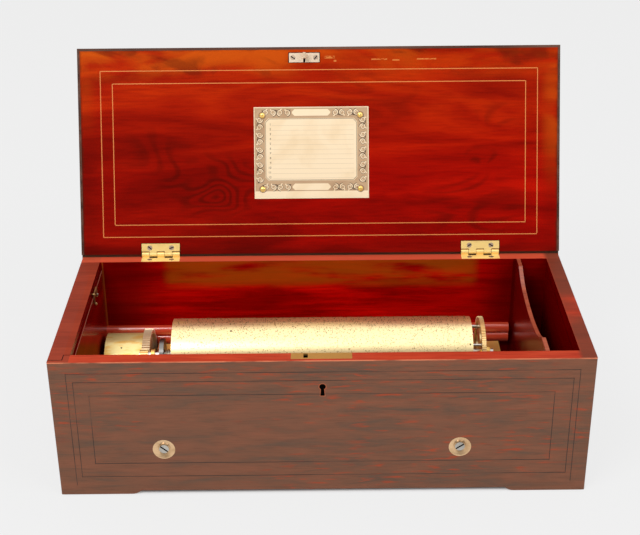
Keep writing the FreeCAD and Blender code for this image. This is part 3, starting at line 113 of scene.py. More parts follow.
class Graph:
    """Short calls for building the nodes of a material or of the world."""

    def __init__(self, owner):
        self.owner = owner
        self.tree = owner.node_tree

    def node(self, kind, inputs=(), output=0, **settings):
        """One output of a new node whose inputs are set to constants or linked to sockets."""
        made = self.tree.nodes.new(kind)
        for key, value in settings.items():
            setattr(made, key, value)
        for key, value in dict(inputs).items():
            if isinstance(value, bpy.types.NodeSocket):
                self.tree.links.new(value, made.inputs[key])
            else:
                made.inputs[key].default_value = value
        return made.outputs[output]

    def shade(self, name, value):
        """Links a value to an input of the material's shader."""
        self.tree.links.new(value, self.tree.nodes["Principled BSDF"].inputs[name])

    def paint(self, colour):
        """The finished material, in this colour."""
        self.shade("Base Color", colour)
        return self.owner

    def end(self, kind, shader):
        """Adds the tree's output node."""
        self.tree.links.new(shader, self.tree.nodes.new(kind).inputs[0])

    def math(self, operation, *values):
        """A Math node on values that are sockets or numbers."""
        return self.node("ShaderNodeMath", enumerate(values), operation=operation)

    def vector(self, operation, *values, output="Vector"):
        """A Vector Math node on values that are sockets or tuples."""
        return self.node("ShaderNodeVectorMath", enumerate(values), output, operation=operation)

    def times(self, value, *others):
        """The product of two values or more."""
        for other in others:
            value = self.math("MULTIPLY", value, other)
        return value

    def larger(self, value, *others):
        """The largest of two values or more."""
        for other in others:
            value = self.math("MAXIMUM", value, other)
        return value

    def above(self, value, limit):
        return self.math("GREATER_THAN", value, limit)

    def below(self, value, limit):
        return self.math("LESS_THAN", value, limit)

    def between(self, value, low, high):
        """1 where a value lies between two limits, otherwise 0."""
        return self.times(self.above(value, low), self.below(value, high))

    def within(self, value, low, high):
        """The same, with the limits in millimetres."""
        return self.between(value, low * MM, high * MM)

    def patch(self, x, x0, x1, y, y0, y1):
        """1 inside a rectangle, otherwise 0."""
        return self.times(self.between(x, x0, x1), self.between(y, y0, y1))

    def fade(self, value, start, end):
        """0 at the start, 1 at the end and smooth between them."""
        return self.node("ShaderNodeMapRange",
                         {"Value": value, "From Min": start, "From Max": end},
                         interpolation_type="SMOOTHSTEP")

    def position(self, kind="Object"):
        """The object's X, Y and Z coordinates, or its normal's, as three values."""
        split = self.tree.nodes.new("ShaderNodeSeparateXYZ")
        self.tree.links.new(self.node("ShaderNodeTexCoord", output=kind), split.inputs[0])
        return [split.outputs[axis] for axis in "XYZ"]

    def along(self, direction, origin):
        """How far a point lies from an origin along a direction."""
        point = self.node("ShaderNodeTexCoord", output="Object")
        offset = self.vector("SUBTRACT", point, origin)
        return self.vector("DOT_PRODUCT", offset, direction, output="Value")

    def noise(self, stretch, scale=1.0, detail=3.0, distortion=0.0, roughness=0.5, point=None):
        """Noise at each point of the object, in metres, stretched by its own factor per axis."""
        if point is None:
            point = self.node("ShaderNodeTexCoord", output="Object")
        where = self.node("ShaderNodeMapping", {"Vector": point, "Scale": stretch})
        return self.node("ShaderNodeTexNoise",
                         {"Vector": where, "Scale": scale, "Detail": detail,
                          "Distortion": distortion, "Roughness": roughness}, "Fac")

    def grain(self, *settings, **more):
        """Noise for a board's grain: it runs along X, but along Y on the ends' faces."""
        x, y, z = self.position()
        on_end = self.above(self.math("ABSOLUTE", self.position("Normal")[0]), 0.7)
        swap = self.times(on_end, self.math("SUBTRACT", y, x))
        point = self.node("ShaderNodeCombineXYZ", {"X": self.math("ADD", x, swap),
                                                   "Y": self.math("SUBTRACT", y, swap), "Z": z})
        return self.noise(*settings, point=point, **more)

    def ramp(self, value, stops):
        """Colours along a value, from stops of which the first two are its ends."""
        made = self.tree.nodes.new("ShaderNodeValToRGB")
        elements = made.color_ramp.elements
        for index, (position, colour) in enumerate(stops):
            element = elements[index] if index < 2 else elements.new(position)
            element.position = position
            element.color = colour
        self.tree.links.new(value, made.inputs["Fac"])
        return made.outputs["Color"]

    def mix(self, amount, first, second, blend="MIX"):
        """Two colours mixed.  The node's colour sockets are its inputs 6 and 7 and output 2."""
        return self.node("ShaderNodeMix", {0: amount, 6: first, 7: second}, 2,
                         data_type="RGBA", blend_type=blend)

    def stain(self, colour, mask, share, tint):
        """A colour with a share of a tint, in display values, where the mask is 1."""
        return self.mix(self.times(mask, share), colour, rgb(*tint))

    def blend(self, amount, first, second):
        """Two shaders mixed."""
        return self.node("ShaderNodeMixShader", {0: amount, 1: first, 2: second})

    def bump(self, height, strength, distance):
        """Relief that only the shading shows."""
        self.shade("Normal", self.node("ShaderNodeBump", {"Strength": strength, "Height": height,
                                                          "Distance": distance}, "Normal"))


WHITE = (1.0, 1.0, 1.0, 1.0)
BLACK = (0.0, 0.0, 0.0, 1.0)


def grain_colour(graph, dark, middle, light, pores=0.5, grain=(9, 150, 150), figure=0.0):
    """Wood whose grain runs along X: fine pores, broad bands and, if asked, cross figure."""
    fine = graph.grain(grain, 4.0, detail=5.0, distortion=0.3)
    broad = graph.grain((2.2, 26, 26), 1.6, distortion=1.2)
    colour = graph.ramp(broad, [(0.30, dark), (0.72, light), (0.52, middle)])
    pore_tint = graph.ramp(fine, [(0.36, (0.55, 0.48, 0.46, 1.0)), (0.56, WHITE)])
    colour = graph.mix(pores, colour, pore_tint, "MULTIPLY")
    if figure:
        swirl = graph.grain((6, 13, 13), detail=4.0, distortion=2.4)
        shade = graph.ramp(swirl, [(0.34, (0.50, 0.38, 0.38, 1.0)), (0.60, WHITE)])
        colour = graph.mix(figure, colour, shade, "MULTIPLY")
    return colour


def rosewood_colour(graph):
    """Brown rosewood with dark smoky bands and short red streaks."""
    smoke = graph.grain((10, 62, 66), 1.4, detail=6.0, distortion=0.5, roughness=0.62)
    colour = graph.ramp(smoke, [(0.28, rgb(92, 73, 60)), (0.68, rgb(127, 80, 59)),
                                (0.50, rgb(115, 76, 57))])
    streak = graph.grain((20, 130, 150), 2.0, detail=4.0, distortion=0.3)
    where = graph.grain((3, 10, 10), detail=2.0)
    mask = graph.times(graph.fade(streak, 0.54, 0.70), graph.fade(where, 0.36, 0.60))
    colour = graph.stain(colour, mask, 0.75, (166, 64, 34))
    fine = graph.grain((14, 300, 300), 3.0, detail=4.0)
    lines = graph.ramp(fine, [(0.32, (0.70, 0.68, 0.68, 1.0)), (0.50, WHITE)])
    return graph.mix(0.45, colour, lines, "MULTIPLY")


def interior_colour(graph):
    """The deep red stain of the inner faces, with browner patches high in the middle as a painted
    reflection of the gilt cylinder, painted shade darker at both ends and a painted shadow beside
    the partition.
    """
    colour = grain_colour(graph, rgb(134, 1, 0), rgb(178, 3, 1), rgb(204, 10, 2),
                          pores=0.25, figure=0.30)
    streaks = graph.noise((20, 400, 400), detail=2.0, distortion=0.2)
    streaks = graph.ramp(streaks, [(0.40, (0.58, 0.50, 0.50, 1.0)), (0.54, WHITE)])
    colour = graph.mix(0.55, colour, streaks, "MULTIPLY")
    x, _, z = graph.position()
    reach = graph.math("ABSOLUTE", x)
    # Painted reflection: the gilt cylinder's image in the back wall, as browner patches high in the
    # middle.
    patches = graph.noise((14, 60, 60), detail=4.0)
    faded = graph.times(graph.fade(reach, 0.186, 0.172), graph.fade(z, 0.122, 0.138),
                        graph.fade(patches, 0.30, 0.58))
    colour = graph.stain(colour, faded, 0.66, (146, 68, 6))
    # Painted shadow: a dark stripe on the wall beside the partition.
    partition_shadow = graph.between(x, 0.2215, 0.2252)
    colour = graph.stain(colour, partition_shadow, 0.75, (24, 2, 1))
    # Painted shade: the walls grow darker towards both ends, near the end boards.
    end_shade = graph.fade(reach, 0.16, 0.225)
    colour = graph.stain(colour, end_shade, 0.76, (88, 0, 0))
    corner = graph.within(x, END_BOARD_FACE, END_BOARD_FACE + 1.6)
    return graph.stain(colour, corner, 0.55, (160, 78, 30))


def rim_colour(graph):
    """The bare-looking red wood of the rim, browner on the flap at the left."""
    colour = grain_colour(graph, rgb(160, 50, 30), rgb(186, 60, 36), rgb(200, 72, 42),
                          pores=0.45, figure=0.25)
    x, y, _ = graph.position()
    left = graph.below(x, -253.6 * MM)
    colour = graph.stain(colour, left, 0.55, (112, 58, 42))
    back = graph.above(y, place(0, INSIDE_Y[1], 0).y)
    colour = graph.stain(colour, back, 0.45, (240, 104, 72))
    smoke = graph.noise((9, 16, 16))
    right = graph.times(graph.fade(x, 0.2555, 0.262), graph.fade(smoke, 0.22, 0.50))
    return graph.stain(colour, right, 0.80, (106, 58, 42))


def flap_joint(graph):
    """The dark line where the flap's top meets the front panel's stepped rebate."""
    x, y, _ = graph.position()
    edge = place(-260.3, 5.55, 0.0)
    step = place(-253.7, 15.35, 0.0)
    half = 0.45 * MM
    outer = graph.patch(x, -1.0, edge.x, y, edge.y - half, edge.y + half)
    cross = graph.patch(x, edge.x - half, edge.x + half, y, edge.y - half, step.y + half)
    inner = graph.patch(x, edge.x, step.x, y, step.y - half, step.y + half)
    return graph.larger(outer, cross, inner)


def case_wood():
    """The case: rosewood outside, deep red inside and a plain red rim."""
    graph = Graph(new_material("case_wood", rgb(113, 68, 48), 0.26, specular=0.16))
    x, y, z = graph.position()
    near, far = (place(0, limit, 0).y for limit in INSIDE_Y)
    inside = graph.times(graph.within(x, *INSIDE_X), graph.between(y, near, far))
    colour = graph.mix(inside, rosewood_colour(graph), interior_colour(graph))
    on_top = graph.above(z, (CASE_TOP - 0.05) * MM)
    colour = graph.mix(on_top, colour, rim_colour(graph))
    rubbed = graph.noise((12, 30, 30), 3.0)
    worn = graph.times(graph.above(z, (CASE_TOP - 0.9) * MM),
                       graph.below(y, FRONT_Y + 0.9 * MM),
                       graph.ramp(rubbed, [(0.30, BLACK), (0.55, WHITE)]))
    colour = graph.mix(worn, colour, rgb(206, 118, 84))
    joint = graph.times(flap_joint(graph), on_top)
    colour = graph.mix(joint, colour, rgb(24, 8, 6))
    graph.shade("Specular IOR Level", graph.math("MULTIPLY_ADD", inside, -0.14, 0.16))
    graph.bump(graph.noise((14, 300, 300), 3.0), 0.06, 0.0004)
    return graph.paint(colour)


def partition_wood():
    """Deep red faces, and a paler edge that is a painted highlight."""
    graph = Graph(new_material("partition_wood", rgb(112, 2, 1), 0.26, coat=0.10))
    faces = grain_colour(graph, rgb(84, 1, 0), rgb(116, 2, 0), rgb(134, 6, 2),
                         pores=0.35, figure=0.35)
    # Painted highlight: a paler colour on the board's edges, where light catches its top.
    cut = grain_colour(graph, rgb(140, 66, 46), rgb(168, 84, 58), rgb(184, 100, 72))
    x = graph.position()[0]
    edge = graph.within(x, *PARTITION_X)
    return graph.paint(graph.mix(edge, faces, cut))


# The rail's painted reflection ends lower towards the back, by this slope; limits of height, in
# millimetres.
END_SLOPE = 0.574
END_POLISH = (191.0, 199.0)
END_RAIL_REFLECTION = (176.0, 187.0)


def end_board_wood():
    """The inner end: polished high up and duller below, where a paler band is a painted reflection
    of the rail and a brown patch towards the front is a painted reflection of the barrel.
    """
    graph = Graph(new_material("end_board", rgb(120, 2, 0), 0.20))
    colour = grain_colour(graph, rgb(92, 1, 0), rgb(120, 2, 0), rgb(140, 7, 1),
                          pores=0.35, figure=0.35)
    x, y, z = graph.position()
    depth = graph.math("SUBTRACT", y, FRONT_Y)
    height = graph.math("DIVIDE", graph.math("MULTIPLY_ADD", depth, END_SLOPE, z), MM)
    outside = graph.below(x, (END_BOARD_FACE - 0.5) * MM)
    polished = graph.larger(graph.fade(height, *END_POLISH), outside)
    # Painted reflection of the rail: a paler red band at the height where the rail would mirror.
    painted_rail_reflection = graph.fade(height, *END_RAIL_REFLECTION)
    # Painted reflection of the barrel: a brown patch low down towards the front.
    low = graph.stain(colour, graph.fade(depth, 0.185, 0.140), 0.60, (140, 70, 18))
    middle = graph.mix(0.55, colour, rgb(170, 52, 30))
    graph.shade("Specular IOR Level", graph.times(polished, 0.42))
    return graph.paint(graph.mix(polished, graph.mix(painted_rail_reflection, low, middle), colour))


def lock_metal():
    """Brass where the selvedge shows, and black below it as painted shade inside the keyhole."""
    graph = Graph(new_material("lock_metal", rgb(206, 160, 84), 0.36, metallic=0.75))
    # Painted shade: the lock is black below the selvedge, where the keyhole's inside is dark.
    keyhole_shade = graph.below(graph.position()[2], LOCK_TOP * MM)
    return graph.paint(graph.mix(keyhole_shade, rgb(206, 160, 84), rgb(8, 5, 4)))


def grained(name, dark, middle, light, roughness=0.22, coat=0.5, pores=0.5, figure=0.0,
            specular=0.5):
    """A polished wood of one kind all over."""
    graph = Graph(new_material(name, middle, roughness, coat=coat, specular=specular))
    return graph.paint(grain_colour(graph, dark, middle, light, pores=pores, figure=figure))


# From the hinge edge up the open lid, and from its inner face into the wood.
LID_TILT = LID_OPEN - pi / 2
LID_UP = Vector((0.0, sin(LID_TILT), cos(LID_TILT)))
LID_IN = Vector((0.0, cos(LID_TILT), -sin(LID_TILT)))


def lid_face_colour(graph, x, s):
    """Figured wood: orange along the top edge, red in the middle, dark at the lower left."""
    broad = graph.noise((2.6, 15, 15), 1.7, detail=4.0, distortion=1.4)
    high = graph.ramp(broad, [(0.28, rgb(128, 12, 1)), (0.70, rgb(184, 44, 3)),
                              (0.50, rgb(160, 27, 2))])
    low = graph.ramp(broad, [(0.28, rgb(118, 4, 0)), (0.70, rgb(178, 16, 1)),
                             (0.50, rgb(152, 7, 0))])
    colour = graph.mix(graph.fade(s, 0.08, 0.205), low, high)
    low_left = graph.times(graph.fade(x, 0.0, -0.12), graph.fade(s, 0.17, 0.10))
    colour = graph.stain(colour, low_left, 0.38, (78, 8, 1))
    colour = lid_figure(graph, colour, x, s)
    fine = graph.noise((12, 150, 150), 3.0, detail=5.0, distortion=0.3)
    lines = graph.ramp(fine, [(0.34, (0.60, 0.46, 0.44, 1.0)), (0.56, WHITE)])
    colour = graph.mix(0.42, colour, lines, "MULTIPLY")
    return lid_wear(graph, lid_glow(graph, colour, x, s), x, s)


# Each figure's place along X and from the hinge edge, its reach and its strength.
FIGURES = ((-125.0, 78.0, 75.0, 0.42), (-190.0, 118.0, 55.0, 0.24), (186.0, 112.0, 22.0, 0.45),
           (205.0, 158.0, 30.0, 0.25), (180.0, 52.0, 75.0, 0.34), (60.0, 178.0, 70.0, 0.18))


def lid_figure(graph, colour, x, s):
    """Dark contour lines that sweep round as in crotch wood, and a knot at the right."""
    flame = graph.noise((4.4, 9, 9), detail=2.0, distortion=1.0)
    waves = graph.math("SINE", graph.times(flame, 120.0))
    contours = graph.math("MULTIPLY_ADD", waves, 0.5, 0.5)
    contours = graph.ramp(contours, [(0.05, WHITE), (0.70, BLACK)])
    for x0, s0, reach, strength in FIGURES:
        across = graph.math("DIVIDE", graph.math("SUBTRACT", x, x0 * MM), reach * MM)
        up = graph.math("DIVIDE", graph.math("SUBTRACT", s, s0 * MM), reach * 0.6 * MM)
        spread = graph.math("ADD", graph.times(across, across), graph.times(up, up))
        mask = graph.times(graph.fade(spread, 1.0, 0.15), strength)
        colour = graph.stain(colour, mask, contours, (52, 8, 2))
    return colour


def lid_glow(graph, colour, x, s):
    """Varnish rubbed to orange along the top, and in patches down the sides."""
    patch = graph.noise((9, 22, 22), detail=4.0, distortion=0.8)
    patch = graph.fade(patch, 0.34, 0.60)
    leftward = graph.math("MULTIPLY_ADD", graph.fade(x, 0.06, -0.06), 0.40, 0.55)
    top = graph.times(graph.fade(s, 0.192, 0.226), patch, leftward)
    right = graph.times(graph.fade(x, 0.250, 0.268), graph.fade(s, 0.05, 0.15), patch, 0.55)
    left = graph.times(graph.fade(x, -0.250, -0.268), graph.fade(s, 0.12, 0.20), patch, 0.25)
    colour = graph.mix(graph.larger(top, right, left), colour, rgb(192, 76, 10))
    smudge = graph.noise((17, 34, 34), detail=5.0, distortion=0.6)
    smudge = graph.times(graph.fade(smudge, 0.52, 0.66), graph.fade(s, 0.196, 0.212))
    colour = graph.stain(colour, smudge, 0.50, (74, 22, 6))
    margin = graph.times(graph.fade(graph.math("ABSOLUTE", x), 0.246, 0.268),
                         graph.fade(s, 0.17, 0.08))
    colour = graph.stain(colour, margin, 0.26, (70, 6, 2))
    return graph.stain(colour, graph.fade(s, 0.014, 0.002), 0.40, (60, 6, 2))


# The limits of each spot along X and from the hinge edge.
RUBBED_SPOTS = ((6.0, 18.0, 222.5, 225.5), (17.0, 20.0, 218.8, 220.8), (60.0, 78.0, 220.5, 222.0),
                (84.0, 92.0, 219.5, 221.0), (112.0, 134.0, 220.5, 222.0))


def lid_wear(graph, colour, x, s):
    """Scorched edges, and rubbed spots to the right of the catch plate."""
    spread = graph.times(graph.noise((40, 60, 60)), 0.005)
    near_top = graph.fade(graph.math("ADD", s, spread), 0.2335, 0.2385)
    near_side = graph.fade(graph.math("ADD", graph.math("ABSOLUTE", x), spread), 0.2725, 0.2775)
    burnt = graph.larger(near_top, near_side)
    colour = graph.stain(colour, burnt, 0.85, (58, 24, 12))
    flecks = graph.noise((220, 420, 420), detail=2.0)
    flecks = graph.ramp(flecks, [(0.32, BLACK), (0.46, WHITE)])
    for x0, x1, s0, s1 in RUBBED_SPOTS:
        spot = graph.times(graph.within(x, x0, x1), graph.within(s, s0, s1), flecks)
        colour = graph.stain(colour, spot, 0.7, (216, 134, 66))
    return colour


def lid_wood():
    """The lid: figured red inside, rosewood outside and on its lip, and painted shade on the face
    along its hinge edge.
    """
    graph = Graph(new_material("lid_wood", rgb(150, 16, 2), 0.28, specular=0.04))
    face = lid_place(0.0, 0.0)
    s = graph.along(LID_UP, face)
    depth = graph.along(LID_IN, face)
    x = graph.position()[0]
    colour = lid_face_colour(graph, x, s)
    outside = graph.larger(graph.above(depth, (LID_THICKNESS - 0.5) * MM),
                           graph.below(s, -0.05 * MM))
    colour = graph.mix(outside, colour, rosewood_colour(graph))
    # Painted shade: the hinge edge's face, which faces down when the lid is open, is painted dark.
    hinge_edge_shade = graph.times(graph.within(s, -0.05, 0.05), graph.below(depth, 5.6 * MM))
    return graph.paint(graph.mix(hinge_edge_shade, colour, rgb(52, 14, 8)))


def aged_metal(name, colour, tarnish, roughness, spots, metallic):
    """Brass or steel that has dulled in patches; a lacquered one is less than fully metallic."""
    graph = Graph(new_material(name, colour, roughness, metallic=metallic))
    patches = graph.noise((60, 60, 60), detail=5.0, distortion=0.8)
    mask = graph.ramp(patches, [(0.45, BLACK), (0.70, WHITE)])
    faded = graph.mix(spots, BLACK, mask)
    return graph.paint(graph.mix(faded, colour, tarnish))


# Along X.
TURNED_LINES = (133.0, 137.5, 139.0, 145.0, 148.5, 150.0, 151.5)


def gilt():
    """The cylinder's skin: gilt brass with fine dark pitting and a few turned lines."""
    base = rgb(250, 226, 170)
    graph = Graph(new_material("gilt", base, 0.34, metallic=0.90))
    inputs = graph.tree.nodes["Principled BSDF"].inputs
    inputs["Specular Tint"].default_value = (1.0, 0.95, 0.55, 1.0)
    pits = graph.noise((1, 1, 1), 620.0, detail=2.0)
    colour = graph.stain(base, graph.fade(pits, 0.60, 0.70), 0.75, (138, 94, 34))
    x = graph.position()[0]
    for middle in TURNED_LINES:
        line = graph.within(x, middle - 0.2, middle + 0.2)
        colour = graph.stain(colour, line, 0.30, (176, 150, 96))
    return graph.paint(colour)


def barrel_brass():
    """Lacquered gold, paler where the great wheel's teeth are cut, and dark on the drum's end as
    painted shade.
    """
    graph = Graph(new_material("barrel_brass", rgb(255, 220, 138), 0.30, metallic=0.46))
    brushed = graph.noise((60, 200, 200))
    drum = graph.mix(graph.fade(brushed, 0.45, 0.70), rgb(255, 232, 158), rgb(250, 200, 104))
    x = graph.position()[0]
    wheel = graph.above(x, WHEEL_LEFT * MM)
    colour = graph.mix(wheel, drum, rgb(226, 200, 166))
    # Painted shade: the drum's left end, in the narrow gap by the end board, is painted dark brown.
    end = graph.below(x, (DRUM_LEFT + 0.3) * MM)
    return graph.paint(graph.mix(end, colour, rgb(112, 58, 14)))


def worn_line():
    """Dark stringing that has faded into the wood here and there."""
    graph = Graph(new_material("dark_line", rgb(78, 48, 36), 0.35, specular=0.3))
    patches = graph.noise((14, 14, 14), detail=4.0)
    mask = graph.ramp(patches, [(0.48, BLACK), (0.72, WHITE)])
    return graph.paint(graph.mix(mask, rgb(52, 36, 28), rgb(104, 68, 50)))


def aged_card(name, pale, brown):
    """Card that has browned unevenly."""
    graph = Graph(new_material(name, pale, 0.75, specular=0.2))
    patches = graph.noise((30, 30, 30), detail=5.0, distortion=0.5)
    mask = graph.ramp(patches, [(0.46, BLACK), (0.74, WHITE)])
    return graph.paint(graph.stain(pale, mask, 0.6, brown))


# Colour, tarnish, roughness, how spotted it is and how metallic.
METALS = {
    "brass": ((228, 180, 98), (168, 118, 52), 0.34, 0.35, 0.85),
    "hinge_brass": ((255, 220, 138), (222, 176, 92), 0.38, 0.35, 0.25),
    "bed_brass": ((255, 208, 114), (214, 152, 66), 0.34, 0.35, 0.40),
    "wheel_brass": ((244, 214, 156), (206, 166, 100), 0.30, 0.35, 0.70),
    "nail_brass": ((255, 214, 122), (220, 160, 70), 0.22, 0.35, 0.5),
    "dark_brass": ((186, 148, 96), (104, 70, 38), 0.36, 0.7, 0.8),
    "dull_brass": ((228, 190, 146), (176, 136, 92), 0.30, 0.6, 0.75),
    "steel": ((196, 192, 184), (120, 114, 106), 0.28, 0.35, 1.0),
    "slotted_steel": ((214, 188, 164), (132, 108, 88), 0.4, 0.35, 0.7),
    "dark_steel": ((120, 116, 112), (72, 68, 64), 0.35, 0.35, 1.0),
    "nickel": ((248, 224, 196), (200, 168, 130), 0.34, 0.5, 0.40),
}

# Colour, roughness, how metallic and how glossy.
PLAIN = {
    "pin_wire": ((104, 72, 36), 0.45, 0.4, 0.5),
    "lead": ((92, 92, 94), 0.6, 0.6, 0.5),
    "gold_line": ((214, 130, 68), 0.4, 0.0, 0.2),
    "card_ink": ((96, 72, 54), 0.75, 0.0, 0.2),
    "faint_ink": ((206, 182, 150), 0.75, 0.0, 0.2),
    "rubbed_red": ((176, 104, 84), 0.5, 0.0, 0.2),
    "bare_wood": ((168, 92, 60), 0.6, 0.0, 0.2),
    "black": ((8, 5, 4), 0.9, 0.0, 0.0),
}

# The pale colour and the brown of the card and of what is printed on it.
CARDS = {
    "card": ((240, 218, 184), (226, 196, 152)),
    "card_tone": ((190, 158, 124), (160, 122, 88)),
    "card_shade": ((82, 62, 48), (70, 50, 38)),
}

MATERIALS = {
    "case": case_wood(),
    "interior": grained("interior_red", rgb(112, 1, 0), rgb(150, 3, 1), rgb(170, 9, 2),
                        roughness=0.18, coat=0.3, figure=0.35, pores=0.35),
    "rail": grained("rail_red", rgb(176, 52, 32), rgb(206, 72, 46), rgb(224, 88, 60),
                    roughness=0.16, pores=0.3, specular=0.7),
    "lid": lid_wood(),
    "edge": grained("dark_edge", rgb(58, 34, 26), rgb(86, 56, 44), rgb(108, 74, 60),
                    roughness=0.5, coat=0.0, pores=0.4, specular=0.15),
    "partition": partition_wood(),
    "end_board": end_board_wood(),
    "barrel": barrel_brass(),
    "lock_metal": lock_metal(),
    "gilt": gilt(),
    "dark_line": worn_line(),
}
for name, (colour, tarnish, *finish) in METALS.items():
    MATERIALS[name] = aged_metal(name, rgb(*colour), rgb(*tarnish), *finish)
for name, (colour, roughness, metallic, specular) in PLAIN.items():
    MATERIALS[name] = new_material(name, rgb(*colour), roughness, metallic, specular=specular)
for name, (pale, brown) in CARDS.items():
    MATERIALS[name] = aged_card(name, rgb(*pale), brown)

NODE_MATERIALS = {
    "case": "front_panel back_panel right_end_panel left_sill flap_panel",
    "interior": "bottom_board bed_bearers",
    "end_board": "inner_end_panel",
    "partition": "partition",
    "rail": "back_rail",
    "lid": "lid_panel",
    "edge": "lid_edge_strip",
    "bed_brass": "bedplate right_cock",
    "lock_metal": "lock_body",
    "brass": "left_bearing_plate barrel_bracket governor_frame comb_base cylinder_cap_left "
             "cylinder_cap_right change_snail governor_first_arbor governor_second_arbor",
    "hinge_brass": "flap_hinge_case_leaves flap_hinge_flap_leaves lid_hinge_case_leaves "
                   "lid_hinge_lid_leaves",
    "dark_brass": "flap_hook flap_catch_pin",
    "barrel": "spring_barrel",
    "wheel_brass": "right_wheel arbor_pinion",
    "nail_brass": "card_nails",
    "dull_brass": "fixing_washers",
    "steel": "comb cylinder_arbor drive_pins return_spring winding_arbor click "
             "endless_screw_and_fly movement_screws lever_studs start_lever change_lever "
             "instant_stop_lever lock_bolt hinge_pins flap_hook_pivot fixing_screws",
    "slotted_steel": "lid_screws case_leaf_screws",
    "dark_steel": "mainspring stop_disc",
    "nickel": "lid_catch_plate",
    "lead": "tuning_weights",
    "gilt": "cylinder_tube",
    "card": "tune_card",
}


def dress_nodes():
    """Gives each of the frame's pieces its material."""
    for key, names in NODE_MATERIALS.items():
        for name in names.split():
            mesh = frame["nodes"][name].data
            mesh.materials.clear()
            mesh.materials.append(MATERIALS[key])


# ---- pieces added to the frame
RIGHT = Vector((1, 0, 0))
LINE_RISE = 0.06
SHADOW_RISE = 0.05


def new_object(name, data):
    made = bpy.data.objects.new(name, data)
    bpy.context.scene.collection.objects.link(made)
    return made


def make_piece(name, points, faces, material, body, slot):
    """A new mesh that moves with a body; its slot argument is not used."""
    mesh = bpy.data.meshes.new(name)
    mesh.from_pydata([tuple(point) for point in points], [], faces)
    mesh.update()
    mesh.materials.append(MATERIALS[material])
    piece = new_object(name, mesh)
    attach(piece, body)
    return piece


def slab(corner, along, across, up):
    """The points and faces of a thin box from a corner and three edge vectors."""
    points = [corner + along * i + across * j + up * k
              for k in (0, 1) for j in (0, 1) for i in (0, 1)]
    faces = [(0, 2, 3, 1), (4, 5, 7, 6), (0, 1, 5, 4), (2, 6, 7, 3), (0, 4, 6, 2), (1, 3, 7, 5)]
    return points, faces


def side_faces(count):
    """The side faces of a prism whose points are a low ring and then a high ring."""
    return [(k, (k + 1) % count, count + (k + 1) % count, count + k) for k in range(count)]


def gather(shapes):
    """The points and faces of many shapes, as those of one."""
    points = []
    faces = []
    for shape_points, shape_faces in shapes:
        start = len(points)
        points += shape_points
        faces += [tuple(index + start for index in face) for face in shape_faces]
    return points, faces


def front_line(x0, z0, x1, z1, width=0.65):
    """A straight strip of stringing on the front face, between two corners of its middle line."""
    half = width / 2
    low = place(min(x0, x1) - half, -LINE_RISE, min(z0, z1) - half)
    high = place(max(x0, x1) + half, 0.0, max(z0, z1) + half)
    size = high - low
    return slab(low, Vector((size.x, 0, 0)), Vector((0, 0, size.z)), Vector((0, size.y, 0)))


# Left, right, top and bottom of each frame; the outer one has no bottom line.
FRONT_FRAMES = ((-257.4, 259.0, 147.8, None), (-251.0, 253.0, 137.8, 22.4),
                (-236.0, 235.0, 121.8, 39.0))
OPEN_FRAME_FOOT = 12.0


def front_stringing():
    """The dark lines let into the front."""
    lines = []
    for left, right, top, bottom in FRONT_FRAMES:
        low = OPEN_FRAME_FOOT if bottom is None else bottom
        for line in ((left, top, right, top), (left, low, left, top), (right, low, right, top),
                     (left, bottom, right, bottom)):
            if None not in line:
                lines.append(front_line(*line))
    make_piece("front_stringing", *gather(lines), "dark_line", "case", "front_rosewood")


def lid_sheet(x0, s0, x1, s1, out, rise):
    """A thin sheet over the lid's inner face, between two corners."""
    corner = lid_place(x0, s0, out)
    along = lid_place(x1, s0, out) - corner
    across = lid_place(x0, s1, out) - corner
    return slab(corner, along, across, lid_place(0, 0, out + rise) - lid_place(0, 0, out))


def lid_line(x0, s0, x1, s1, width=0.9):
    """A straight strip of stringing on the lid's inner face."""
    half = width / 2
    return lid_sheet(min(x0, x1) - half, min(s0, s1) - half, max(x0, x1) + half,
                     max(s0, s1) + half, 0.0, LINE_RISE)


# Each frame's half width, and its near and far lines from the hinge edge.
LID_FRAMES = ((250.0, 20.1, 210.0), (236.4, 34.0, 195.6))


def lid_stringing():
    """The gilt lines let into the lid's inner face."""
    lines = []
    for reach, near, far in LID_FRAMES:
        for line in ((-reach, near, reach, near), (-reach, far, reach, far),
                     (-reach, near, -reach, far), (reach, near, reach, far)):
            lines.append(lid_line(*line))
    make_piece("lid_stringing", *gather(lines), "gold_line", "lid", "lid_wood")


TUNES = 12
COMB_TEETH = 78
PIN_COUNT = 5200
PIN_HEIGHT = 0.9
PIN_HALF = 0.2
PIN_SUNK = 0.1
PIN_MARGIN = 5.0


def cylinder_pins():
    """The pins: short wires standing on the gilt skin, in the comb's tracks."""
    draw = random.Random(12)
    tracks = COMB_TEETH * TUNES
    first = CYLINDER_ENDS[0] + PIN_MARGIN
    span = CYLINDER_ENDS[1] - CYLINDER_ENDS[0] - 2 * PIN_MARGIN
    faces = side_faces(4) + [(4, 5, 6, 7)]
    pins = []
    for _ in range(PIN_COUNT):
        x = first + span * draw.randrange(tracks) / tracks
        angle = draw.uniform(0.0, 2 * pi)
        radial = Vector((0, cos(angle), sin(angle)))
        around = Vector((0, -sin(angle), cos(angle)))
        foot = place(x, CYLINDER_Y, CYLINDER_Z) + radial * (CYLINDER_RADIUS - PIN_SUNK) * MM
        top = foot + radial * PIN_HEIGHT * MM
        pins.append(([base + Vector((i * PIN_HALF * MM, 0, 0))
                      + around * j * PIN_HALF * MM
                      for base in (foot, top)
                      for i, j in ((-1, -1), (1, -1), (1, 1), (-1, 1))], faces))
    make_piece("cylinder_pins", *gather(pins), "pin_wire", "cylinder", "steel")


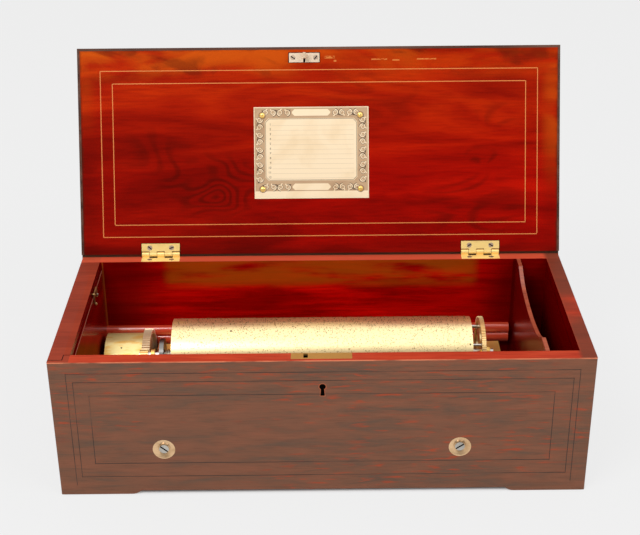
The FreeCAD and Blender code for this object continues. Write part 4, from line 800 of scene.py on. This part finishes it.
def bar(middle, turn, up, length, width, rise):
    """A thin raised bar about its middle, turned by so many degrees from X towards up."""
    angle = radians(turn)
    along = RIGHT * cos(angle) + up * sin(angle)
    across = up * cos(angle) - RIGHT * sin(angle)
    corner = middle - along * (length * MM / 2) - across * (width * MM / 2)
    return slab(corner, along * (length * MM), across * (width * MM), rise)


# Each screw's place along X and from the hinge edge, and its slot's turn.
LID_SCREWS = ((-197.0, 7.5, -40.0), (-172.0, 7.5, 20.0), (172.0, 7.5, 35.0), (197.0, 7.5, -30.0),
              (-29.7, 223.8, -35.0), (-3.7, 223.8, 50.0))
LID_SLOT = (5.6, 1.1)
# Painted shadow round the catch plate, and in it the link's hole: middle, length and width.
CATCH_MARKS = ((-16.7, 221.3, 2.3, 5.4), (-34.5, 223.8, 0.8, 11.6), (1.1, 223.8, 0.8, 11.6),
               (-16.7, 229.4, 36.0, 0.7), (-16.7, 218.2, 36.0, 0.5))
# The same round each hinge leaf, from the hinge's middle.
HINGE_MIDDLES = (-184.5, 184.5)
LEAF_MARKS = ((-22.3, 6.2, 0.6, 13.0), (22.3, 6.2, 0.6, 13.0), (0.0, 12.8, 45.0, 0.5))
# The two screws in the front, and those of the hinges' leaves on the case.
FIXING_SCREWS = ((-164.1, 40.0), (141.6, -35.0))
FIXING_FACE = (0.4, 56.0)
FIXING_SLOT = (9.6, 1.5)
LEAF_SCREWS = (-197.0, -172.0, 172.0, 197.0)
LEAF_SCREW_Y = 228.5
LEAF_SLOT = (5.2, 1.1)


def screw_slots():
    """The dark shadow in each driver's slot, in the link's hole and round the plates."""
    rise = LID_IN * -SHADOW_RISE * MM
    marks = [bar(lid_place(x, s), turn, LID_UP, *LID_SLOT, rise) for x, s, turn in LID_SCREWS]
    marks += [bar(lid_place(x, s), 0.0, LID_UP, *size, rise) for x, s, *size in CATCH_MARKS]
    marks += [bar(lid_place(middle + x, s), 0.0, LID_UP, *size, rise)
              for middle in HINGE_MIDDLES for x, s, *size in LEAF_MARKS]
    make_piece("lid_screw_slots", *gather(marks), "black", "lid", "steel")
    down = Vector((0, 0, -1))
    rise = Vector((0, -SHADOW_RISE * MM, 0))
    marks = [bar(place(x, *FIXING_FACE), turn, down, *FIXING_SLOT, rise)
             for x, turn in FIXING_SCREWS]
    back = Vector((0, 1, 0))
    rise = Vector((0, 0, SHADOW_RISE * MM))
    marks += [bar(place(x, LEAF_SCREW_Y, CASE_TOP), 0.0, back, *LEAF_SLOT, rise)
              for x in LEAF_SCREWS]
    make_piece("case_screw_slots", *gather(marks), "black", "case", "steel")


# The half width and height of the slot's foot and neck; the round's start and sweep in degrees.
KEYHOLE_FOOT = (2.2, -10.7)
KEYHOLE_NECK = (1.7, -2.6)
KEYHOLE_RADIUS = 3.35
KEYHOLE_ROUND = (-48.0, 276.0)
KEYHOLE_STEPS = 24


def keyhole_outline(grow):
    """The keyhole's outline, grown on every side."""
    foot, low = KEYHOLE_FOOT
    neck, high = KEYHOLE_NECK
    start, sweep = KEYHOLE_ROUND
    radius = KEYHOLE_RADIUS + grow
    outline = [(-foot - grow, low - grow), (foot + grow, low - grow), (neck + grow, high)]
    for index in range(KEYHOLE_STEPS + 1):
        angle = radians(start + index * sweep / KEYHOLE_STEPS)
        outline.append((radius * cos(angle), radius * sin(angle)))
    return outline + [(-neck - grow, high)]


def keyhole_wear_and_shadow():
    """The keyhole's mouth: bare wood where keys have rubbed, and over its opening a black sheet of
    painted shade.
    """
    x0, z0 = KEYHOLE
    # The second sheet is painted shade: black over the keyhole's opening.
    for name, grow, proud, material in (("keyhole_rim", 0.7, 0.04, "bare_wood"),
                                        ("keyhole_painted_shadow", 0.0, 0.07, "black")):
        outline = keyhole_outline(grow)
        count = len(outline)
        points = [place(x0 + dx, -out, z0 + dz) for out in (-0.01, proud) for dx, dz in outline]
        faces = [tuple(range(2 * count - 1, count - 1, -1)), *side_faces(count)]
        make_piece(name, points, faces, material, "case", "front_rosewood")


END_EDGE = (-252.5, 150.4)
END_EDGE_WIDTH = 0.7
END_EDGE_GAP = 0.3


def end_panel_highlight():
    """The inner end panel's top corner, with a pale strip as a painted highlight."""
    # Painted highlight: a thin pale strip along the top edge, where light catches it.
    x, z = END_EDGE
    length = INSIDE_Y[1] - INSIDE_Y[0] - 2 * END_EDGE_GAP
    edge = slab(place(x, INSIDE_Y[0] + END_EDGE_GAP, z), Vector((END_EDGE_WIDTH * MM, 0, 0)),
                Vector((0, length * MM, 0)), Vector((0, 0, LINE_RISE * MM)))
    make_piece("end_panel_highlight", *edge, "rubbed_red", "case", "interior_wood")


BARREL_AXIS = (175.0, 51.95)
BARREL_RADIUS = 37.0


def dent(name, x, angle, axis, radius, size, body):
    """A small dark dent in a drum's skin, at an angle round its axis."""
    turn = radians(angle)
    radial = Vector((0, cos(turn), sin(turn)))
    around = Vector((0, -sin(turn), cos(turn)))
    middle = place(x, *axis) + radial * (radius * MM)
    mark = bar(middle, 0.0, around, size, size, radial * (LINE_RISE * MM))
    make_piece(name, *mark, "black", body, "steel")


def dents():
    """Two in the cylinder, and one in the barrel."""
    axis = CYLINDER_Y, CYLINDER_Z
    dent("cylinder_dent_right", 162.3, 137.8, axis, CYLINDER_RADIUS, 1.5, "cylinder")
    dent("cylinder_dent_left", -99.3, 110.2, axis, CYLINDER_RADIUS, 1.9, "cylinder")
    dent("barrel_dent", -226.3, 117.3, BARREL_AXIS, BARREL_RADIUS, 1.6, "barrel")


# ---- tune card
# Its left and right, its low and high edges from the hinge edge, and its face's rise.
CARD_X = (-75.2, 56.2)
CARD_S = (63.2, 167.9)
CARD_FACE = 0.8
PRINT = 0.05
PANEL_X = (-62.5, 43.2)
PANEL_S = (83.7, 155.0)
PANEL_CUT = 4.0
LABEL_S = (76.5, 161.5)
LABEL_HALF = (22.0, 3.8)
LABEL_CUT = 3.0
CURL_MARGIN = 6.6
SIDE_CURLS = 9
SIDE_CURL_STEP = 8.5
ROW_CURLS = 4
ROW_CURL_STEP = 8.2
ROW_CURL_S = (76.2, 161.4)
RULES_TOP = 7.0
RULES_FOOT = 4.0
RULE_DROP = 1.2
NAIL_HEADS = ((-65.5, 158.3), (-65.5, 74.1), (46.7, 158.3), (46.7, 74.1))
NAIL_HEAD_RADIUS = 3.2
NAIL_HEAD_HEIGHT = 1.9
DOME_RINGS = 5
DOME_SIDES = 20


def nail_heads():
    """The domed heads of the card's nails."""
    heads = []
    for x, s in NAIL_HEADS:
        points = []
        faces = []
        for ring_index in range(DOME_RINGS):
            lift = radians(90.0 * ring_index / DOME_RINGS)
            reach = NAIL_HEAD_RADIUS * cos(lift)
            out = CARD_FACE + NAIL_HEAD_HEIGHT * sin(lift)
            low = len(points)
            for side in range(DOME_SIDES):
                angle = 2 * pi * side / DOME_SIDES
                points.append(lid_place(x + reach * cos(angle), s + reach * sin(angle), out))
                following = (side + 1) % DOME_SIDES
                if ring_index < DOME_RINGS - 1:
                    faces.append((low + side, low + following, low + DOME_SIDES + following,
                                  low + DOME_SIDES + side))
                else:
                    faces.append((low + side, low + following, DOME_RINGS * DOME_SIDES))
        points.append(lid_place(x, s, CARD_FACE + NAIL_HEAD_HEIGHT))
        heads.append((points, faces))
    piece = make_piece("nail_heads", *gather(heads), "nail_brass", "lid", "brass")
    piece.data.shade_smooth()


def card_outline(outline, height=PRINT * 2):
    """A flat printed shape on the card from its outline of (x, s) points."""
    points = [lid_place(x, s, CARD_FACE + out) for out in (0.0, height) for x, s in outline]
    count = len(outline)
    return points, [tuple(range(count, 2 * count)), *side_faces(count)]


def scroll(x, s, size, turn, flip, weight, height):
    """A ribbon that winds in a spiral, as scrollwork does."""
    steps = 22
    inner = []
    outer = []
    for index in range(steps + 1):
        share = index / steps
        angle = turn + flip * share * 2.6 * pi
        radius = size * (1.0 - 0.62 * share)
        half = size * weight * (1.0 - 0.5 * share)
        for points, offset in ((inner, -half), (outer, half)):
            reach = radius + offset
            points.append((x + reach * cos(angle), s + reach * sin(angle)))
    return [card_outline([outer[index], outer[index + 1], inner[index + 1], inner[index]], height)
            for index in range(steps)]


# The reach and turn of a leaf's root, back, tip and belly.
LEAF = ((0.35, 0.7), (0.75, -0.05), (1.15, 0.0), (0.85, 0.35))


def leaf(x, s, size, turn):
    """A slim leaf that springs from a scroll's edge."""
    outline = [(x + reach * size * cos(turn + lean), s + reach * size * sin(turn + lean))
               for reach, lean in LEAF]
    return card_outline(outline)


def ring(x, s, radius, width):
    """A thin printed circle."""
    steps = 28
    inner = radius - width
    parts = []
    for index in range(steps):
        a = 2 * pi * index / steps
        b = 2 * pi * (index + 1) / steps
        quad = [(x + reach * cos(angle), s + reach * sin(angle))
                for reach, angle in ((radius, a), (radius, b), (inner, b), (inner, a))]
        parts.append(card_outline(quad))
    return parts


def stroke(first, second, width):
    """A straight printed line."""
    direction = Vector((second[0] - first[0], second[1] - first[1])).normalized()
    normal = Vector((-direction.y, direction.x)) * width / 2
    quad = [(first[0] + normal.x, first[1] + normal.y), (first[0] - normal.x, first[1] - normal.y),
            (second[0] - normal.x, second[1] - normal.y),
            (second[0] + normal.x, second[1] + normal.y)]
    return card_outline(quad, PRINT * 3)


def cut_panel(x0, x1, s0, s1, cut):
    """A rectangle's outline with its corners cut off."""
    return [(x0 + cut, s0), (x1 - cut, s0), (x1, s0 + cut), (x1, s1 - cut), (x1 - cut, s1),
            (x0 + cut, s1), (x0, s1 - cut), (x0, s0 + cut)]


def curls():
    """Each scroll's place on the border, its start and which way it winds."""
    left, right = CARD_X
    middle = (left + right) / 2
    for index in range(SIDE_CURLS):
        side = 1 if index % 2 else -1
        s = PANEL_S[0] + 1.6 + index * SIDE_CURL_STEP
        yield left + CURL_MARGIN, s, 0.0, side
        yield right - CURL_MARGIN, s, pi, -side
    for index in range(ROW_CURLS):
        side = 1 if index % 2 else -1
        for sign in (-1, 1):
            x = middle + sign * (27.5 + index * ROW_CURL_STEP)
            for s in ROW_CURL_S:
                yield x, s, pi / 2 * sign, sign * side


def tune_card():
    """A generic card: a toned border with scrolls, a pale panel, ruled lines and numerals."""
    left, right = CARD_X
    low, high = CARD_S
    tone = lid_sheet(left + 1.0, low + 8.5, right - 1.0, high - 1.0, CARD_FACE, PRINT * 0.6)
    make_piece("card_border_tone", *tone, "card_tone", "lid", "card")
    middle = (left + right) / 2
    dx, ds = LABEL_HALF
    panels = [cut_panel(*PANEL_X, *PANEL_S, PANEL_CUT)]
    panels += [cut_panel(middle - dx, middle + dx, s - ds, s + ds, LABEL_CUT) for s in LABEL_S]
    make_piece("card_panels", *gather(map(card_outline, panels)), "card", "lid", "card")

    pale = []
    shade = []
    for x, s, turn, flip in curls():
        pale += scroll(x, s, 3.4, turn, flip, 0.18, PRINT * 2)
        shade += scroll(x, s, 4.4, turn, flip, 0.09, PRINT)
        shade.append(leaf(x, s, 4.8, turn + 2.2 * flip))
        pale.append(leaf(x, s, 4.6, turn + 3.6 * flip))
    make_piece("card_scrolls", *gather(pale), "card", "lid", "card")
    make_piece("card_shading", *gather(shade), "card_shade", "lid", "card")

    inset = 0.7
    outline = cut_panel(PANEL_X[0] + inset, PANEL_X[1] - inset,
                        PANEL_S[0] + inset, PANEL_S[1] - inset, PANEL_CUT)
    ink = [stroke(first, second, 0.45) for first, second in zip(outline, outline[1:] + outline[:1])]
    for x, s in NAIL_HEADS:
        ink += ring(x, s, 4.1, 0.5)
    make_piece("card_ink", *gather(ink), "card_ink", "lid", "card")

    rules = []
    for index in range(TUNES):
        s = rule_height(index)
        rules.append(stroke((PANEL_X[0] + 8.0, s), (PANEL_X[1] - 4.0, s), 0.3))
    make_piece("card_rules", *gather(rules), "faint_ink", "lid", "card")
    numerals()


def rule_height(index):
    """How far a tune's ruled line, on which its number stands, is from the hinge edge."""
    top = PANEL_S[1] - RULES_TOP
    return top - index * (top - PANEL_S[0] - RULES_FOOT) / (TUNES - 1) - RULE_DROP


def numerals():
    """The plain numbers from 1 to 12 beside the ruled lines."""
    for index in range(TUNES):
        name = "numeral_%02d" % (index + 1)
        curve = bpy.data.curves.new(name, "FONT")
        curve.body = str(index + 1)
        curve.size = 3.6 * MM
        curve.extrude = 0.03 * MM
        curve.align_x = "RIGHT"
        curve.materials.append(MATERIALS["card_ink"])
        text = new_object(name, curve)
        text.location = lid_place(PANEL_X[0] + 7.0, rule_height(index), CARD_FACE + 3 * PRINT)
        text.rotation_euler = Euler((pi / 2 - LID_TILT, 0, 0))
        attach(text, "lid")


# ---- studio
CAMERA_PLACE = (-6.2, -1105.6, 828.5)
CAMERA_TURN = (62.9998, 0.3626, -0.4195)
CAMERA_LENS = 72.744
BACKGROUND = rgb(240, 240, 240)


def camera():
    """The view from the front, from above."""
    data = bpy.data.cameras.new("camera")
    data.lens = CAMERA_LENS
    data.sensor_width = 36.0
    data.sensor_fit = "HORIZONTAL"
    data.clip_end = 50.0
    view = new_object("camera", data)
    view.location = place(*CAMERA_PLACE)
    view.rotation_euler = Euler([radians(angle) for angle in CAMERA_TURN], "XYZ")
    bpy.context.scene.camera = view


# In metres: the floor's even glow starts at half of each side of the case, and grows over a reach.
GLOW_START = (0.270, 0.1630, 0.0)
GLOW_REACH = 0.008
GLOW_MOST = 0.90


def even_share(graph):
    """How much of the floor's even glow is seen: none under the case, nearly all around it."""
    point = graph.node("ShaderNodeTexCoord", output="Object")
    past = graph.vector("SUBTRACT", graph.vector("ABSOLUTE", point), GLOW_START)
    ahead = graph.vector("MAXIMUM", past, (0.0, 0.0, 0.0))
    distance = graph.vector("LENGTH", ahead, output="Value")
    return graph.node("ShaderNodeMapRange",
                      {"Value": distance, "From Max": GLOW_REACH, "To Max": GLOW_MOST})


FLOOR_SIZE = 40.0
FLOOR_HEIGHT = -0.0004


def floor():
    """A pale floor: uniform to the camera and in reflections, darkened a little by shadow."""
    bpy.ops.mesh.primitive_plane_add(size=FLOOR_SIZE, location=(0, 0, FLOOR_HEIGHT))
    plane = bpy.context.object
    plane.name = "floor"
    material = bpy.data.materials.new("floor")
    material.use_nodes = True
    material.node_tree.nodes.clear()
    graph = Graph(material)
    path = graph.tree.nodes.new("ShaderNodeLightPath").outputs
    seen = graph.larger(path["Is Camera Ray"], path["Is Glossy Ray"])
    diffuse = graph.node("ShaderNodeBsdfDiffuse", {"Color": (0.80, 0.80, 0.80, 1.0)})
    glow = graph.node("ShaderNodeEmission", {"Color": BACKGROUND, "Strength": 1.0})
    graph.end("ShaderNodeOutputMaterial",
              graph.blend(graph.times(seen, even_share(graph)), diffuse, glow))
    plane.data.materials.append(material)


AMBIENT = 0.62
MIRRORED = 1.6
# How bright the room is in reflections, from below (0) to above (1).
ROOM = ((0.0, 0.40), (1.0, 1.0), (0.14, 0.05), (0.52, 0.05), (0.74, 0.45), (0.88, 0.90))


def world():
    """An even grey room: pale to the camera, darker above for what metal and polish reflect."""
    studio = bpy.data.worlds.new("studio")
    studio.use_nodes = True
    studio.node_tree.nodes.clear()
    bpy.context.scene.world = studio
    graph = Graph(studio)
    path = graph.tree.nodes.new("ShaderNodeLightPath").outputs
    height = graph.position("Generated")[2]
    level = graph.ramp(height, [(at, (grey, grey, grey, 1.0)) for at, grey in ROOM])
    ambient = graph.node("ShaderNodeBackground", {"Color": WHITE, "Strength": AMBIENT})
    mirrored = graph.node("ShaderNodeBackground", {"Color": level, "Strength": MIRRORED})
    seen = graph.node("ShaderNodeBackground", {"Color": BACKGROUND})
    lit = graph.blend(path["Is Glossy Ray"], ambient, mirrored)
    graph.end("ShaderNodeOutputWorld", graph.blend(path["Is Camera Ray"], lit, seen))


LIT_POINT = Vector((0, 0, 0.15))


def area_light(name, where, size, power):
    """A rectangular light that is turned to the middle of the box."""
    data = bpy.data.lights.new(name, "AREA")
    data.shape = "RECTANGLE"
    data.size, data.size_y = size
    data.energy = power
    light = new_object(name, data)
    light.location = Vector(where)
    light.rotation_euler = (LIT_POINT - Vector(where)).to_track_quat("-Z", "Y").to_euler()


def lights():
    """A key light at the left, and a weaker one at the right."""
    area_light("key", (-1.2, -1.5, 2.4), (1.4, 1.0), 42.0)
    area_light("fill", (1.6, -1.2, 1.8), (1.2, 1.2), 18.0)


dress_nodes()
front_stringing()
lid_stringing()
cylinder_pins()
screw_slots()
keyhole_wear_and_shadow()
end_panel_highlight()
dents()
tune_card()
nail_heads()
camera()
floor()
world()
lights()
bpy.context.scene.view_settings.view_transform = "Standard"
